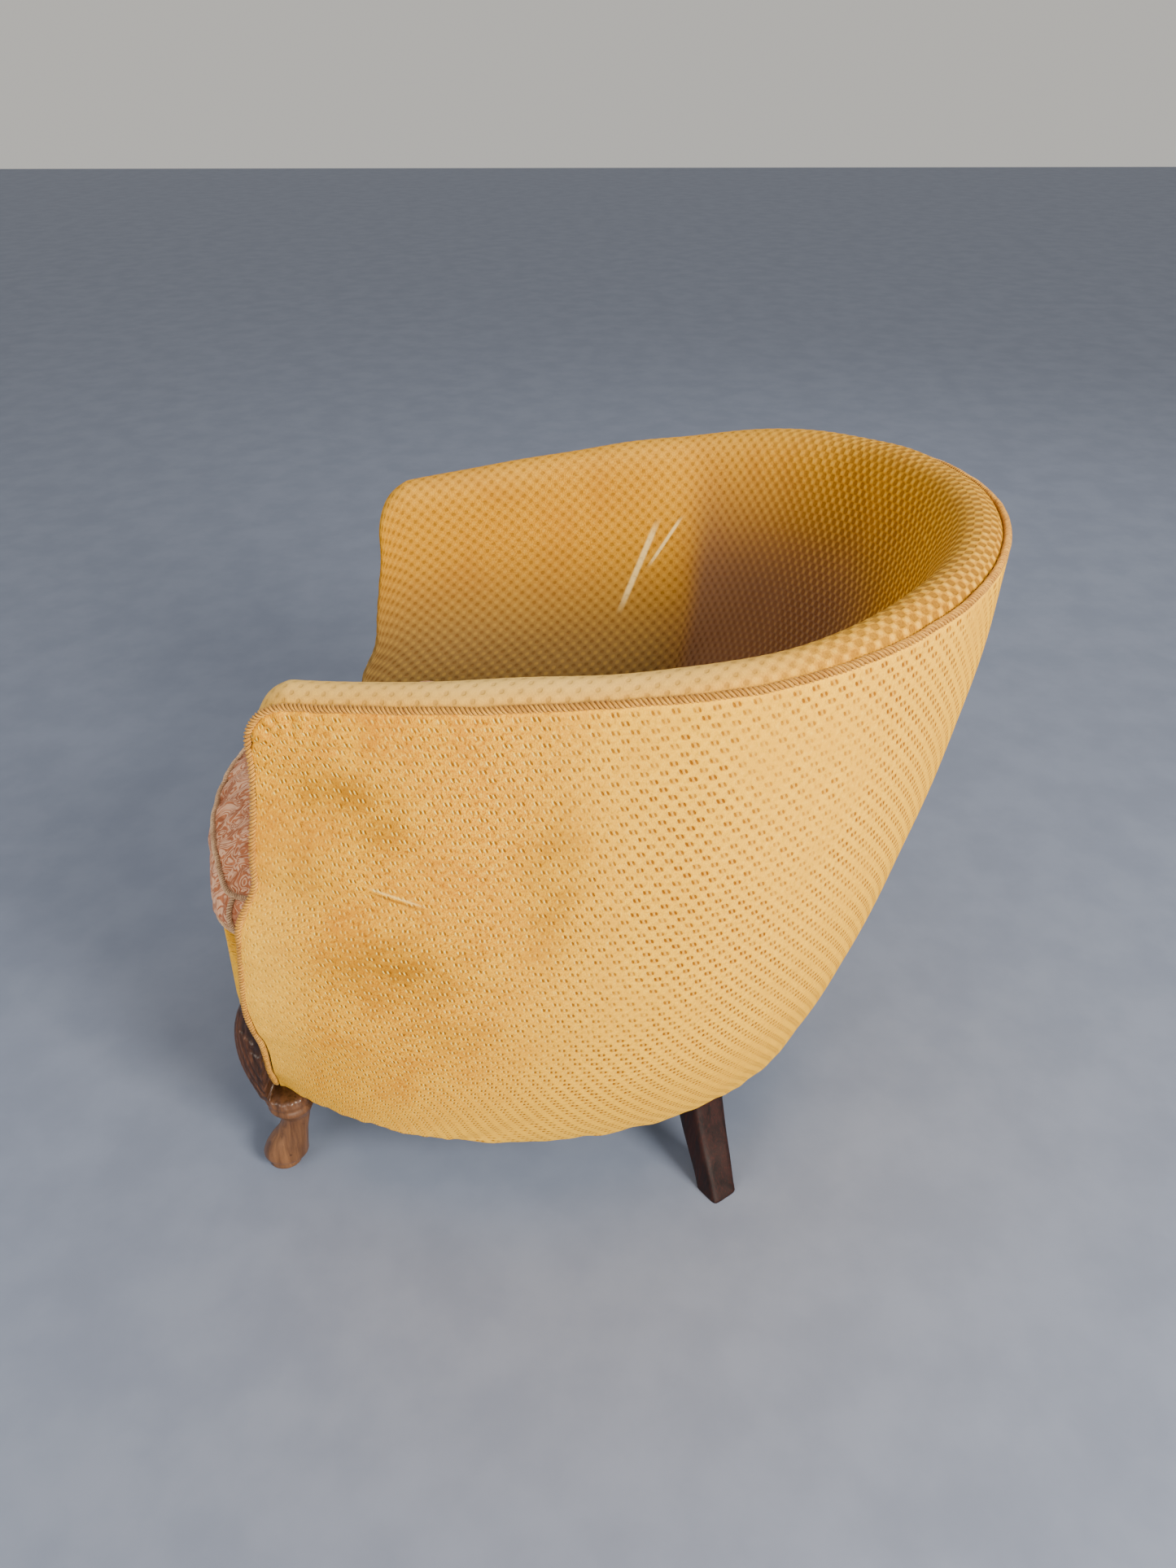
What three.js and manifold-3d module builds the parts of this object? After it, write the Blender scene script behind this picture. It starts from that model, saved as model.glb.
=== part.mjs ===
// An upholstered tub armchair: a beech frame inside a sprung, stuffed and covered horseshoe shell,
// with carved front legs, sabre rear legs and a loose bow-fronted seat cushion.
// Millimetres, +Z up. The chair stands on z = 0, faces -Y and is the same on both sides of x = 0.

import * as THREE from 'three';
import { mergeVertices } from 'three/addons/utils/BufferGeometryUtils.js';
import Module from 'manifold-3d';

const wasm = await Module();
wasm.setup();

const { lerp, clamp, smoothstep } = THREE.MathUtils;
const RIGHT_ANGLE = Math.PI / 2;
const SIDES = { right: -1, left: 1 };

// ---------- Driving dimensions ----------

// The outside cover's plan at its hem and at its rim. It runs nearly straight from the arm's front edge to
// sideY, where the chair is widest, and then round the back.
const HEM = { z: 103.4, halfWidth: 288, sideY: -109, backY: 270.3, taper: 0.24, roundness: 0.93 };
const RIM = { halfWidth: 354.7, sideY: 117.7, backY: 418.1, taper: 0.18, roundness: 1.03 };
const RIM_Z = { front: 634.8, middle: 678.7, back: 723, frontY: -264.9 };
const ARM_FRONT_Y = -270.6;
const ARM_CORNER = 38;
const BACK_SHARE = 0.6;
const GAP = 0.4;

// Layers of the wall, as depths in from the outside cover's face.
const COVER = 3;
const FRAME = { outer: 6.5, inner: 27 };
const HESSIAN = { outer: 30.2, inner: 31.7 };
const PAD_OUTER = 33.2;
const PAD_GAP = 2;
const TOP_RAIL = { top: 18.5, bottom: 44 };
const STAY = { bottom: 300, top: 324 };
const TUCK_Z = 262;

// Depth of the inner face from the outside cover's face, under the roll and at the seat, and the roll's
// height.
const INNER_TOP = { back: 58, front: 50 };
const INNER_SEAT = { back: 142, side: 95, front: 42 };
const ROLL_RISE = 13;

// Heights of the seat's layers.
const RAIL = { bottom: 111.5, top: 180, outer: 8, inner: 36 };
const WEB = { z: 109.1, width: 50, thickness: 1.5, wave: 1.2 };
const SPRING = { bottom: 111.3, top: 283.6, wire: 4, radius: 42, waist: 26, turns: 4 };
const SPRING_X = [-130, 0, 130];
const SPRING_Y = [-255, -110, 35];
const CANVAS = { bottom: 284.2, top: 285.6 };
const STUFFING = { bottom: 286, top: 316.2 };
const DECK = { bottom: 316.6, top: 319.6 };

// The bowed front: the y of its middle and of its corners, for the apron and for the cushion.
const APRON = { middleY: -418, cornerX: 270, cornerY: -338, bottom: 112, top: 319, thickness: 3 };
const CUSHION = {
  middleY: -416, cornerX: 226, cornerY: -348, bottom: 320, lowSeam: 326, topSeam: 382, crown: 422,
};
const CUSHION_WALL = { clearance: 15, bulge: 6, thickness: 3, cord: 3.5 };
const KNEE_CLEAR = { x: 186, z: 245 };
const RIM_CORD = { radius: 4, clear: 6.4 };
const RIM_CORD_HEIGHTS = [112, 150, 190, 230, 270, 310, 350, 380, 400, 420, 445, 500, 550];
const OUTER_ROWS = [0, 0.06, 0.16, 0.32, 0.48, 0.6, 0.7, 0.84, 1];
const HEM_WIDTH = 22;
const WALL_COLUMNS = 14;
const SCREW = { radius: 4, length: 40, head: 7, headHeight: 4, z: 150 };

// ---------- Closed solids from three.js geometries ----------

// Merges a geometry's shared corners and turns its faces outwards.
function closed(geometry) {
  geometry.deleteAttribute('normal');
  geometry.deleteAttribute('uv');
  const merged = mergeVertices(geometry, 1e-4);
  if (signedVolume(merged) < 0) {
    merged.setIndex(Array.from(merged.index.array).reverse());
  }
  merged.clearGroups();
  merged.computeVertexNormals();
  return merged;
}

function signedVolume(geometry) {
  const { position } = geometry.attributes;
  const { array } = geometry.index;
  const corners = [new THREE.Vector3(), new THREE.Vector3(), new THREE.Vector3()];
  let volume = 0;
  for (let i = 0; i < array.length; i += 3) {
    corners.forEach((corner, k) => corner.fromBufferAttribute(position, array[i + k]));
    volume += corners[0].dot(corners[1].clone().cross(corners[2])) / 6;
  }
  return volume;
}

// Moves each vertex of a geometry to where place() puts it.
function bend(geometry, place) {
  const { position } = geometry.attributes;
  const vertex = new THREE.Vector3();
  for (let i = 0; i < position.count; i += 1) {
    vertex.fromBufferAttribute(position, i);
    const moved = place(vertex);
    position.setXYZ(i, moved.x, moved.y, moved.z);
  }
  return closed(geometry);
}

// A box of a by b by c cells, bent by place(a, b, c), where each runs from 0 to 1.
function bentBox(a, b, c, place) {
  return bend(new THREE.BoxGeometry(1, 1, 1, a, b, c), (v) => place(v.x + 0.5, v.y + 0.5, v.z + 0.5));
}

// A bar through rings of { z, x, y, rx, ry }, round or, with squareness 1, square.
function ringBar(rings, sides, squareness = 0, turn = 0) {
  const bar = new THREE.CylinderGeometry(1, 1, 1, sides, rings.length - 1);
  return bend(bar, (v) => {
    const ring = rings[Math.round((v.y + 0.5) * (rings.length - 1))];
    const angle = Math.atan2(v.z, v.x);
    const square = 1 / Math.max(Math.abs(Math.cos(angle)), Math.abs(Math.sin(angle)));
    const reach = Math.hypot(v.x, v.z) * lerp(1, square, squareness);
    const along = reach * ring.rx * Math.cos(angle);
    const across = reach * ring.ry * Math.sin(angle);
    return new THREE.Vector3(
      ring.x + along * Math.cos(turn) - across * Math.sin(turn),
      ring.y + along * Math.sin(turn) + across * Math.cos(turn),
      ring.z,
    );
  });
}

// A pad on an outline: rings of { share, z }, where share 1 is the outline and 0 the middle.
function outlinePad(edge, rings, middle) {
  const pad = new THREE.CylinderGeometry(1, 1, 1, edge.length, rings.length - 1);
  return bend(pad, (v) => {
    const ring = rings[Math.round((v.y + 0.5) * (rings.length - 1))];
    const share = Math.round(Math.hypot(v.x, v.z)) * ring.share;
    const point = edge[turnIndex(v.x, v.z, edge.length)];
    return new THREE.Vector3(lerp(middle.x, point.x, share), lerp(middle.y, point.y, share), ring.z);
  });
}

// A closed band along an outline, whose section is a list of { out, z }.
function outlineBand(edge, section) {
  const ring = new THREE.TorusGeometry(2, 1, section.length, edge.length);
  const outward = edge.map((_, i) => outwardAt(edge, i));
  return bend(ring, (v) => {
    const i = turnIndex(v.x, v.y, edge.length);
    const corner = section[turnIndex(Math.hypot(v.x, v.y) - 2, v.z, section.length)];
    const point = edge[i].clone().addScaledVector(outward[i], corner.out);
    return point.setZ(corner.z);
  });
}

// Which of count equal turns the direction (x, y) is at.
function turnIndex(x, y, count) {
  const turns = Math.atan2(y, x) / (2 * Math.PI);
  return (Math.round(turns * count) + count) % count;
}

// The level direction out of a clockwise outline at its point i.
function outwardAt(edge, i) {
  const ahead = edge[(i + 1) % edge.length];
  const behind = edge[(i + edge.length - 1) % edge.length];
  return new THREE.Vector3(behind.y - ahead.y, ahead.x - behind.x, 0).normalize();
}

function offset(edge, distance) {
  return edge.map((point, i) => point.clone().addScaledVector(outwardAt(edge, i), distance));
}

function prism(points, bottom, top) {
  const shape = new THREE.Shape(points.map((p) => new THREE.Vector2(p.x, p.y)));
  const geometry = new THREE.ExtrudeGeometry(shape, { depth: top - bottom, bevelEnabled: false });
  return closed(geometry.translate(0, 0, bottom));
}

function circle(radius, sides) {
  return Array.from({ length: sides }, (_, i) => {
    const angle = ((i + 0.5) / sides) * 2 * Math.PI;
    return new THREE.Vector2(radius * Math.cos(angle), radius * Math.sin(angle));
  });
}

function tube(path, radius, sides, steps) {
  const section = new THREE.Shape(circle(radius, sides));
  return closed(new THREE.ExtrudeGeometry(section, { steps, bevelEnabled: false, extrudePath: path }));
}

function toManifold(geometry) {
  return new wasm.Manifold(new wasm.Mesh({
    numProp: 3,
    vertProperties: new Float32Array(geometry.attributes.position.array),
    triVerts: new Uint32Array(geometry.index.array),
  }));
}

function fromManifold(solid) {
  const mesh = solid.getMesh();
  const geometry = new THREE.BufferGeometry();
  geometry.setAttribute('position', new THREE.BufferAttribute(mesh.vertProperties, 3));
  geometry.setIndex(new THREE.BufferAttribute(mesh.triVerts, 1));
  return closed(geometry);
}

function cut(geometry, ...cutters) {
  const solid = cutters.reduce((left, cutter) => left.subtract(toManifold(cutter)), toManifold(geometry));
  return fromManifold(solid);
}

// ---------- The shell's shape ----------
// u runs round the horseshoe: 0 is the back's middle, 1 the left arm's front edge and -1 the right arm's.
// tau is u without its sign.

// The arm's front edge leans forward towards the seat and steps out beside the cushion.
function frontEdgeY(z) {
  return ARM_FRONT_Y
    - 17 * (1 - smoothstep(z, 440, 580))
    - 27 * (1 - smoothstep(z, 376, 448))
    - 16 * (1 - smoothstep(z, 240, 400));
}

function rimY(tau) {
  if (tau < BACK_SHARE) {
    const sweep = (1 - tau / BACK_SHARE) * RIGHT_ANGLE;
    return RIM.sideY + (RIM.backY - RIM.sideY) * Math.sin(sweep) ** RIM.roundness;
  }
  return lerp(RIM.sideY, ARM_FRONT_Y, (tau - BACK_SHARE) / (1 - BACK_SHARE));
}

// The rim rises from the arms to the back, through three heights.
function rimLineZ(tau) {
  const s = clamp((rimY(tau) - RIM_Z.frontY) / (RIM.backY - RIM_Z.frontY), 0, 1);
  const front = RIM_Z.front * (1 - s) * (1 - 2 * s);
  const middle = RIM_Z.middle * 4 * s * (1 - s);
  return front + middle + RIM_Z.back * s * (2 * s - 1);
}

// The rim with the arm's top corner rounded off.
function rimZ(tau) {
  const past = clamp(ARM_FRONT_Y + ARM_CORNER - rimY(tau), 0, ARM_CORNER);
  return rimLineZ(tau) - (ARM_CORNER - Math.sqrt(ARM_CORNER ** 2 - past ** 2));
}

// Where the rounded corner starts.
const CORNER_START = lerp(
  BACK_SHARE, 1, (RIM.sideY - ARM_FRONT_Y - ARM_CORNER) / (RIM.sideY - ARM_FRONT_Y),
);

// One half of the outside cover's outline at height z.
function outline(tau, z) {
  const rise = clamp((z - HEM.z) / (rimLineZ(tau) - HEM.z), 0, 1);
  const spread = 1 - (1 - rise) ** 3.85;
  const lean = 1 - (1 - rise) ** 1.46;
  const halfWidth = lerp(HEM.halfWidth, RIM.halfWidth, spread);
  const sideY = lerp(HEM.sideY, RIM.sideY, spread);
  if (tau < BACK_SHARE) {
    const backY = lerp(HEM.backY, RIM.backY, lean);
    const roundness = lerp(HEM.roundness, RIM.roundness, spread);
    const sweep = (1 - tau / BACK_SHARE) * RIGHT_ANGLE;
    return new THREE.Vector2(
      halfWidth * Math.abs(Math.cos(sweep)) ** roundness,
      sideY + (backY - sideY) * Math.sin(sweep) ** roundness,
    );
  }
  const along = (tau - BACK_SHARE) / (1 - BACK_SHARE);
  const narrowing = 1 - lerp(HEM.taper, RIM.taper, spread) * along ** 2;
  return new THREE.Vector2(halfWidth * narrowing, lerp(sideY, frontEdgeY(z), along));
}

// A point of the wall, at a depth in from the outside cover's face. Near the arm's front, depth runs
// straight across the chair, so that the arm ends in a flat face. The outline may be taken at another
// height, planZ.
function wallPoint(u, z, depth, planZ = z) {
  const tau = Math.abs(u);
  const step = 0.01;
  const point = outline(tau, planZ);
  const ahead = outline(Math.min(tau + step, 1), planZ);
  const behind = outline(Math.max(tau - step, 0), planZ);
  const inward = new THREE.Vector2(ahead.y - behind.y, behind.x - ahead.x).normalize();
  if (tau < step) {
    inward.set(0, -1);
  }
  inward.lerp(new THREE.Vector2(-1, 0), smoothstep(tau, BACK_SHARE, 0.95)).normalize();
  point.addScaledVector(inward, depth);
  return new THREE.Vector3(Math.sign(u) * point.x, point.y, z);
}

function innerTop(tau) {
  return lerp(INNER_TOP.back, INNER_TOP.front, tau);
}

function innerDepth(tau, z) {
  const back = lerp(INNER_SEAT.back, INNER_SEAT.side, smoothstep(tau, 0, BACK_SHARE));
  const seat = lerp(back, INNER_SEAT.front, smoothstep(tau, BACK_SHARE, 1));
  const fall = clamp((rimZ(tau) - z) / (rimZ(tau) - DECK.top), 0, 1);
  return lerp(innerTop(tau), seat, fall);
}

// The roll over the rim, as shares of its width and heights above the seam.
const ROLL = [[0.11, -1], [0.18, 8], [0.45, ROLL_RISE], [0.75, 8], [0.95, -8]];
const WALL_SHARES = [0, 0.25, 0.4, 0.52, 0.66, 0.84, 1];

// The height of a row of the wall, a share of the way from the roll to the tucked-in edge.
function wallRow(tau, share) {
  return lerp(rimZ(tau) - 40, TUCK_Z, share);
}

// The inside cover's visible line, from the rim's seam over the roll and down the wall, as depths and
// heights.
function rollAndWall(tau) {
  const rim = rimZ(tau);
  const roll = ROLL.map(([share, rise]) => [share * innerTop(tau), rim + rise]);
  const wall = WALL_SHARES.map((share) => {
    const z = wallRow(tau, share);
    return [innerDepth(tau, z), z];
  });
  return [...roll, ...wall];
}

// The same line, a thickness behind the face: towards the roll's middle, or out from the wall.
function behindRollAndWall(tau, thickness) {
  const middle = new THREE.Vector2(innerTop(tau) / 2, rimZ(tau) - 14);
  return rollAndWall(tau).map(([depth, z], row) => {
    if (row >= ROLL.length) {
      return [depth - thickness, z];
    }
    const inward = middle.clone().sub(new THREE.Vector2(depth, z)).setLength(thickness);
    return [depth + inward.x, z + inward.y];
  });
}

// Columns of the shell, from one arm's front to the other's, closer together round the arms' top corners.
function shellColumns() {
  const half = [];
  for (let i = 0; i < WALL_COLUMNS; i += 1) {
    half.push((CORNER_START * i) / WALL_COLUMNS);
  }
  for (let i = 0; i <= 4; i += 1) {
    half.push(lerp(CORNER_START, 1, Math.sin((i / 4) * RIGHT_ANGLE)));
  }
  return [...half.slice(1).reverse().map((u) => -u), ...half];
}

// A sheet or pad between two lines up the wall. Each line gives its points' depths and heights at tau.
function wallSheet(columns, back, front) {
  const rows = front(1).length;
  return bentBox(columns.length - 1, rows - 1, 1, (a, b, c) => {
    const u = columns[Math.round(a * (columns.length - 1))];
    const line = (c < 0.5 ? back : front)(Math.abs(u));
    const [depth, z] = line[Math.round(b * (rows - 1))];
    return wallPoint(u, z, depth);
  });
}

// A block of the frame that follows the wall, between two heights that may depend on tau.
function wallBlock(from, to, columns, rows, foot, head) {
  return bentBox(columns, rows, 1, (a, b, c) => {
    const u = lerp(from, to, a);
    const z = lerp(foot(Math.abs(u)), head(Math.abs(u)), b);
    return wallPoint(u, z, lerp(FRAME.outer, FRAME.inner, c));
  });
}

// The bow of the seat's front, at x.
function bowY(bow, x) {
  return lerp(bow.middleY, bow.cornerY, (x / bow.cornerX) ** 2);
}

// The seat's outline inside the tub: from the right arm round the back to the left arm, then along the bow.
function seatOutline(bow, z, { clearance, corner, last = 0.985 }) {
  const points = [];
  const columns = 22;
  const bowPoints = 9;
  for (let i = 0; i <= columns; i += 1) {
    const u = lerp(-last, last, i / columns);
    points.push(wallPoint(u, z, innerDepth(Math.abs(u), z) + clearance));
  }
  for (let i = 0; i < bowPoints; i += 1) {
    const x = lerp(corner, -corner, i / (bowPoints - 1));
    points.push(new THREE.Vector3(x, bowY(bow, x), z));
  }
  return points;
}

// ---------- Wooden frame ----------

const topRailFoot = (tau) => rimZ(tau) - TOP_RAIL.bottom;
const topRailHead = (tau) => rimZ(tau) - TOP_RAIL.top;

function frontSeatRail() {
  return bentBox(10, 1, 1, (a, b, c) => {
    const x = lerp(-184, 184, a);
    const y = bowY(APRON, x) + lerp(APRON.thickness + GAP, RAIL.inner, c);
    return new THREE.Vector3(x, y, lerp(RAIL.bottom, RAIL.top, b));
  });
}

// A seat rail that stands upright on the hem's plan.
function seatRail(from, to, columns) {
  return bentBox(columns, 1, 1, (a, b, c) => {
    const depth = lerp(RAIL.outer, RAIL.inner, c);
    return wallPoint(lerp(from, to, a), lerp(RAIL.bottom, RAIL.top, b), depth, HEM.z);
  });
}

function frontPost(side) {
  return wallBlock(side * 0.905, side * 0.985, 2, 6, () => 207, (tau) => rimZ(tau) - 24);
}

function backPost(side) {
  return wallBlock(side * 0.3, side * 0.345, 1, 6, () => RAIL.top + GAP, topRailHead);
}

function armRail(side) {
  return wallBlock(side * 0.35, side * 0.9, 10, 1, topRailFoot, topRailHead);
}

function backTopRail() {
  return wallBlock(-0.295, 0.295, 10, 1, topRailFoot, topRailHead);
}

function stayRail(from, to, columns) {
  return wallBlock(from, to, columns, 1, () => STAY.bottom, () => STAY.top);
}

const FRONT_BLOCK = [[140, -354], [182, -340], [189, -322], [197, -306], [202, -290], [207.8, -274.8]];
const REAR_BLOCK = [
  [138, 184], [152, 157], [166, 139], [192, 108], [207, 90], [222, 60], [200, 50], [122, 165],
];

function cornerBlock(corners, side, screw) {
  const points = corners.map(([x, y]) => new THREE.Vector2(side * x, y));
  return cut(prism(points, RAIL.bottom + 6, RAIL.top - 8), screwHole(screw, side));
}

// A screw's level line, from its head in the corner block to its leg.
const FRONT_SCREW = { x: 178.5, y: -309, angle: Math.atan2(-77, 90) };
const REAR_SCREW = { x: 161, y: 107.5, angle: Math.atan2(78, 115) };

function alongScrew(geometry, screw, side) {
  geometry.rotateZ(-RIGHT_ANGLE + screw.angle);
  return closed(geometry.translate(screw.x, screw.y, SCREW.z).scale(side, 1, 1));
}

function legScrew(screw, side) {
  const profile = [
    [0, -SCREW.headHeight],
    [SCREW.head, -SCREW.headHeight],
    [SCREW.head, -GAP],
    [SCREW.radius, -GAP],
    [SCREW.radius, SCREW.length - 4],
    [0, SCREW.length],
  ];
  const turned = new THREE.LatheGeometry(profile.map(([r, h]) => new THREE.Vector2(r, h)), 8);
  return alongScrew(turned, screw, side);
}

function screwHole(screw, side) {
  const length = SCREW.length + 2;
  const hole = new THREE.CylinderGeometry(SCREW.radius + GAP, SCREW.radius + GAP, length, 8);
  return alongScrew(hole.translate(0, length / 2 - 1, 0), screw, side);
}

// ---------- Legs ----------

// The cabriole front leg: a disc under a pad foot, a slim ankle and a knee that swells over the rail.
const FRONT_LEG = [
  { z: 0, x: 234, y: -338, rx: 13.5, ry: 14 },
  { z: 7, x: 234, y: -338, rx: 14, ry: 14.5 },
  { z: 10, x: 234, y: -337.5, rx: 19.5, ry: 21 },
  { z: 20, x: 234, y: -337, rx: 22.5, ry: 25 },
  { z: 31, x: 234, y: -335.5, rx: 23, ry: 25.5 },
  { z: 43, x: 234, y: -331, rx: 21, ry: 23.5 },
  { z: 54, x: 231, y: -325, rx: 18.5, ry: 19.5 },
  { z: 65, x: 229, y: -321, rx: 18, ry: 18.5 },
  { z: 79, x: 227, y: -322, rx: 21, ry: 21.5 },
  { z: 86, x: 226, y: -324, rx: 26, ry: 26 },
  { z: 102, x: 224, y: -326, rx: 28, ry: 28 },
  { z: 134, x: 222, y: -332, rx: 30, ry: 31 },
  { z: 160, x: 222, y: -335, rx: 32, ry: 32 },
  { z: 188, x: 222, y: -336, rx: 32, ry: 31 },
  { z: 214, x: 223, y: -336, rx: 30, ry: 27 },
  { z: 240, x: 225, y: -337, rx: 25, ry: 17 },
];
const KNEE_BACK = { y: -331, z: 205 };

// The space of the outside cover's lower front corner and its cord, which the knee is cut back from.
function armCornerSpace() {
  const reach = 90;
  const space = bentBox(4, 5, 1, (a, b, c) => {
    const depth = lerp(-reach, 14, c);
    return wallPoint(lerp(0.8, 1, a), lerp(HEM.z - GAP, 290, b), depth);
  });
  return closed(space.translate(0, -RIM_CORD.radius - RIM_CORD.clear - 1, 0));
}

function frontLeg(side) {
  const block = new THREE.BoxGeometry(120, 60, 90);
  const behindKnee = closed(block.translate(222, KNEE_BACK.y + 30, KNEE_BACK.z + 45));
  const leg = cut(ringBar(FRONT_LEG, 12), armCornerSpace(), behindKnee, screwHole(FRONT_SCREW, 1));
  return closed(leg.scale(side, 1, 1));
}

// The square sabre leg at the rear, with one edge facing outwards and a foot that kicks out.
const REAR_LEG = [
  { z: 0, x: 251, y: 163.5, rx: 15.5, ry: 15.5 },
  { z: 14, x: 245, y: 160.5, rx: 15.5, ry: 15.5 },
  { z: 34, x: 234, y: 155.5, rx: 16.5, ry: 16.5 },
  { z: 60, x: 219, y: 148, rx: 18, ry: 18 },
  { z: 90, x: 205, y: 142, rx: 19.5, ry: 19.5 },
  { z: 110, x: 199, y: 139.5, rx: 20, ry: 20 },
  { z: RAIL.top, x: 197, y: 138.5, rx: 20, ry: 20 },
];
const REAR_LEG_TURN = THREE.MathUtils.degToRad(40);

function rearLeg(side) {
  const leg = cut(ringBar(REAR_LEG, 8, 1, REAR_LEG_TURN), screwHole(REAR_SCREW, 1));
  return closed(leg.scale(side, 1, 1));
}

// A space round each front leg's top, for what is cut away to let the leg through.
function frontLegSpaces() {
  return Object.values(SIDES).map((side) => {
    const space = new THREE.CylinderGeometry(37, 37, 40, 16).rotateX(RIGHT_ANGLE);
    return closed(space.translate(222, -332, 120).scale(side, 1, 1));
  });
}

function rearLegSpaces() {
  return Object.values(SIDES).map((side) => {
    const space = new THREE.BoxGeometry(43, 43, 40).rotateZ(REAR_LEG_TURN);
    return closed(space.translate(200, 140, 120).scale(side, 1, 1));
  });
}

// The front end of the turned-under hem, which is cut off behind each front leg.
function hemEnds() {
  return Object.values(SIDES).map((side) => bentBox(4, 1, 1, (a, b, c) => {
    const z = lerp(HEM.z - 1, HEM.z + COVER + 1, b);
    return wallPoint(side * lerp(0.86, 1.02, a), z, lerp(COVER + GAP, 40, c));
  }));
}

// ---------- Seat suspension ----------

// A jute strap that weaves over and under the straps across it: its side view, extruded across its width.
// It runs along X from start to end, and its waves are centred on middle.
function webStrap(start, end, middle, spacing, phase) {
  const steps = 18;
  const line = Array.from({ length: steps + 1 }, (_, i) => {
    const x = lerp(start, end, i / steps);
    const turns = (x - middle) / spacing;
    const rise = Math.abs(turns) < 1.5 ? phase * WEB.wave * Math.cos(Math.PI * turns) : 0;
    return new THREE.Vector2(x, rise);
  });
  const half = new THREE.Vector2(0, WEB.thickness / 2);
  const top = line.map((p) => p.clone().add(half)).reverse();
  const bottom = line.map((p) => p.clone().sub(half));
  const side = new THREE.Shape([...bottom, ...top]);
  const strap = new THREE.ExtrudeGeometry(side, { depth: WEB.width, bevelEnabled: false });
  return strap.translate(0, 0, -WEB.width / 2).rotateX(RIGHT_ANGLE).translate(0, 0, WEB.z);
}

function crossWeb(row) {
  const ends = [242, 272, 256];
  const strap = webStrap(-ends[row], ends[row], 0, SPRING_X[2], (-1) ** row);
  return closed(strap.translate(0, SPRING_Y[row], 0));
}

function lengthWeb(column) {
  const outer = column !== 1;
  const start = bowY(APRON, SPRING_X[column]) + 9;
  const spacing = SPRING_Y[1] - SPRING_Y[0];
  const strap = webStrap(start, outer ? 214 : 256, SPRING_Y[1], spacing, (-1) ** (column + 1));
  return closed(strap.rotateZ(RIGHT_ANGLE).translate(SPRING_X[column], 0, 0));
}

// The wire's middle line in an hourglass spring.
class SpringPath extends THREE.Curve {
  constructor(x, y) {
    super();
    this.centre = new THREE.Vector2(x, y);
  }

  getPoint(t) {
    const angle = t * SPRING.turns * 2 * Math.PI;
    const radius = lerp(SPRING.waist, SPRING.radius, Math.abs(2 * t - 1) ** 1.3);
    return new THREE.Vector3(
      this.centre.x + radius * Math.cos(angle),
      this.centre.y + radius * Math.sin(angle),
      lerp(SPRING.bottom + SPRING.wire / 2, SPRING.top - SPRING.wire / 2, t),
    );
  }
}

// ---------- Seat upholstery ----------

// A bow a distance behind the apron's.
function behindApron(distance) {
  return { ...APRON, middleY: APRON.middleY + distance, cornerY: APRON.cornerY + distance };
}

function springCanvas() {
  const edge = seatOutline(behindApron(10), CANVAS.bottom, { clearance: 7, corner: 224 });
  return prism(edge, CANVAS.bottom, CANVAS.top);
}

function seatStuffing() {
  const edge = seatOutline(behindApron(6), STUFFING.bottom, { clearance: 6, corner: 226 });
  return prism(edge, STUFFING.bottom, STUFFING.top);
}

function seatDeck() {
  const edge = seatOutline(behindApron(5), DECK.bottom, { clearance: 5, corner: 228 });
  return prism(edge, DECK.bottom, DECK.top);
}

// The apron hangs from the deck's front edge between the arms' cords, and rises over each knee.
function frontApron() {
  return bentBox(26, 3, 1, (a, b, c) => {
    const reach = lerp(-1, 1, a);
    const overKnee = smoothstep(Math.abs(reach), 0.68, 0.7);
    const z = lerp(lerp(APRON.bottom, KNEE_CLEAR.z, overKnee), APRON.top, b);
    const halfWidth = wallPoint(1, z, RIM_CORD.radius + 4).x;
    const x = reach * lerp(KNEE_CLEAR.x / 0.69, halfWidth, smoothstep(Math.abs(reach), 0.69, 1));
    return new THREE.Vector3(x, bowY(APRON, x) + lerp(0, APRON.thickness, c), z);
  });
}

// ---------- Tub upholstery ----------

function insideCover() {
  return wallSheet(shellColumns(), (tau) => behindRollAndWall(tau, COVER), rollAndWall);
}

function tubPadding() {
  const bed = (tau) => {
    const seat = rimZ(tau) - TOP_RAIL.top + GAP;
    const overRail = [9, 14, 20, 26, PAD_OUTER].map((depth) => [depth, seat]);
    const wall = WALL_SHARES.map((share) => [PAD_OUTER, wallRow(tau, share)]);
    return [...overRail, ...wall];
  };
  return wallSheet(shellColumns(), bed, (tau) => behindRollAndWall(tau, COVER + PAD_GAP));
}

function tubHessian() {
  const line = (depth) => (tau) => {
    const top = rimZ(tau) - TOP_RAIL.top - 1;
    return [[depth, top], ...WALL_SHARES.map((share) => [depth, wallRow(tau, share)])];
  };
  const columns = shellColumns().filter((u) => Math.abs(u) < 0.9);
  return wallSheet(columns, line(HESSIAN.outer), line(HESSIAN.inner));
}

// The outside cover, with its hem turned under the rails.
function outsideCover() {
  const heightAt = (tau, share) => lerp(HEM.z, rimZ(tau) - RIM_CORD.clear, share);
  const face = (tau) => [[HEM_WIDTH, HEM.z], ...OUTER_ROWS.map((share) => [0, heightAt(tau, share)])];
  const back = (tau) => [
    [HEM_WIDTH, HEM.z + COVER],
    ...OUTER_ROWS.map((share) => [COVER, Math.max(heightAt(tau, share), HEM.z + COVER)]),
  ];
  return cut(wallSheet(shellColumns(), face, back), ...hemEnds(), ...rearLegSpaces());
}

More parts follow.
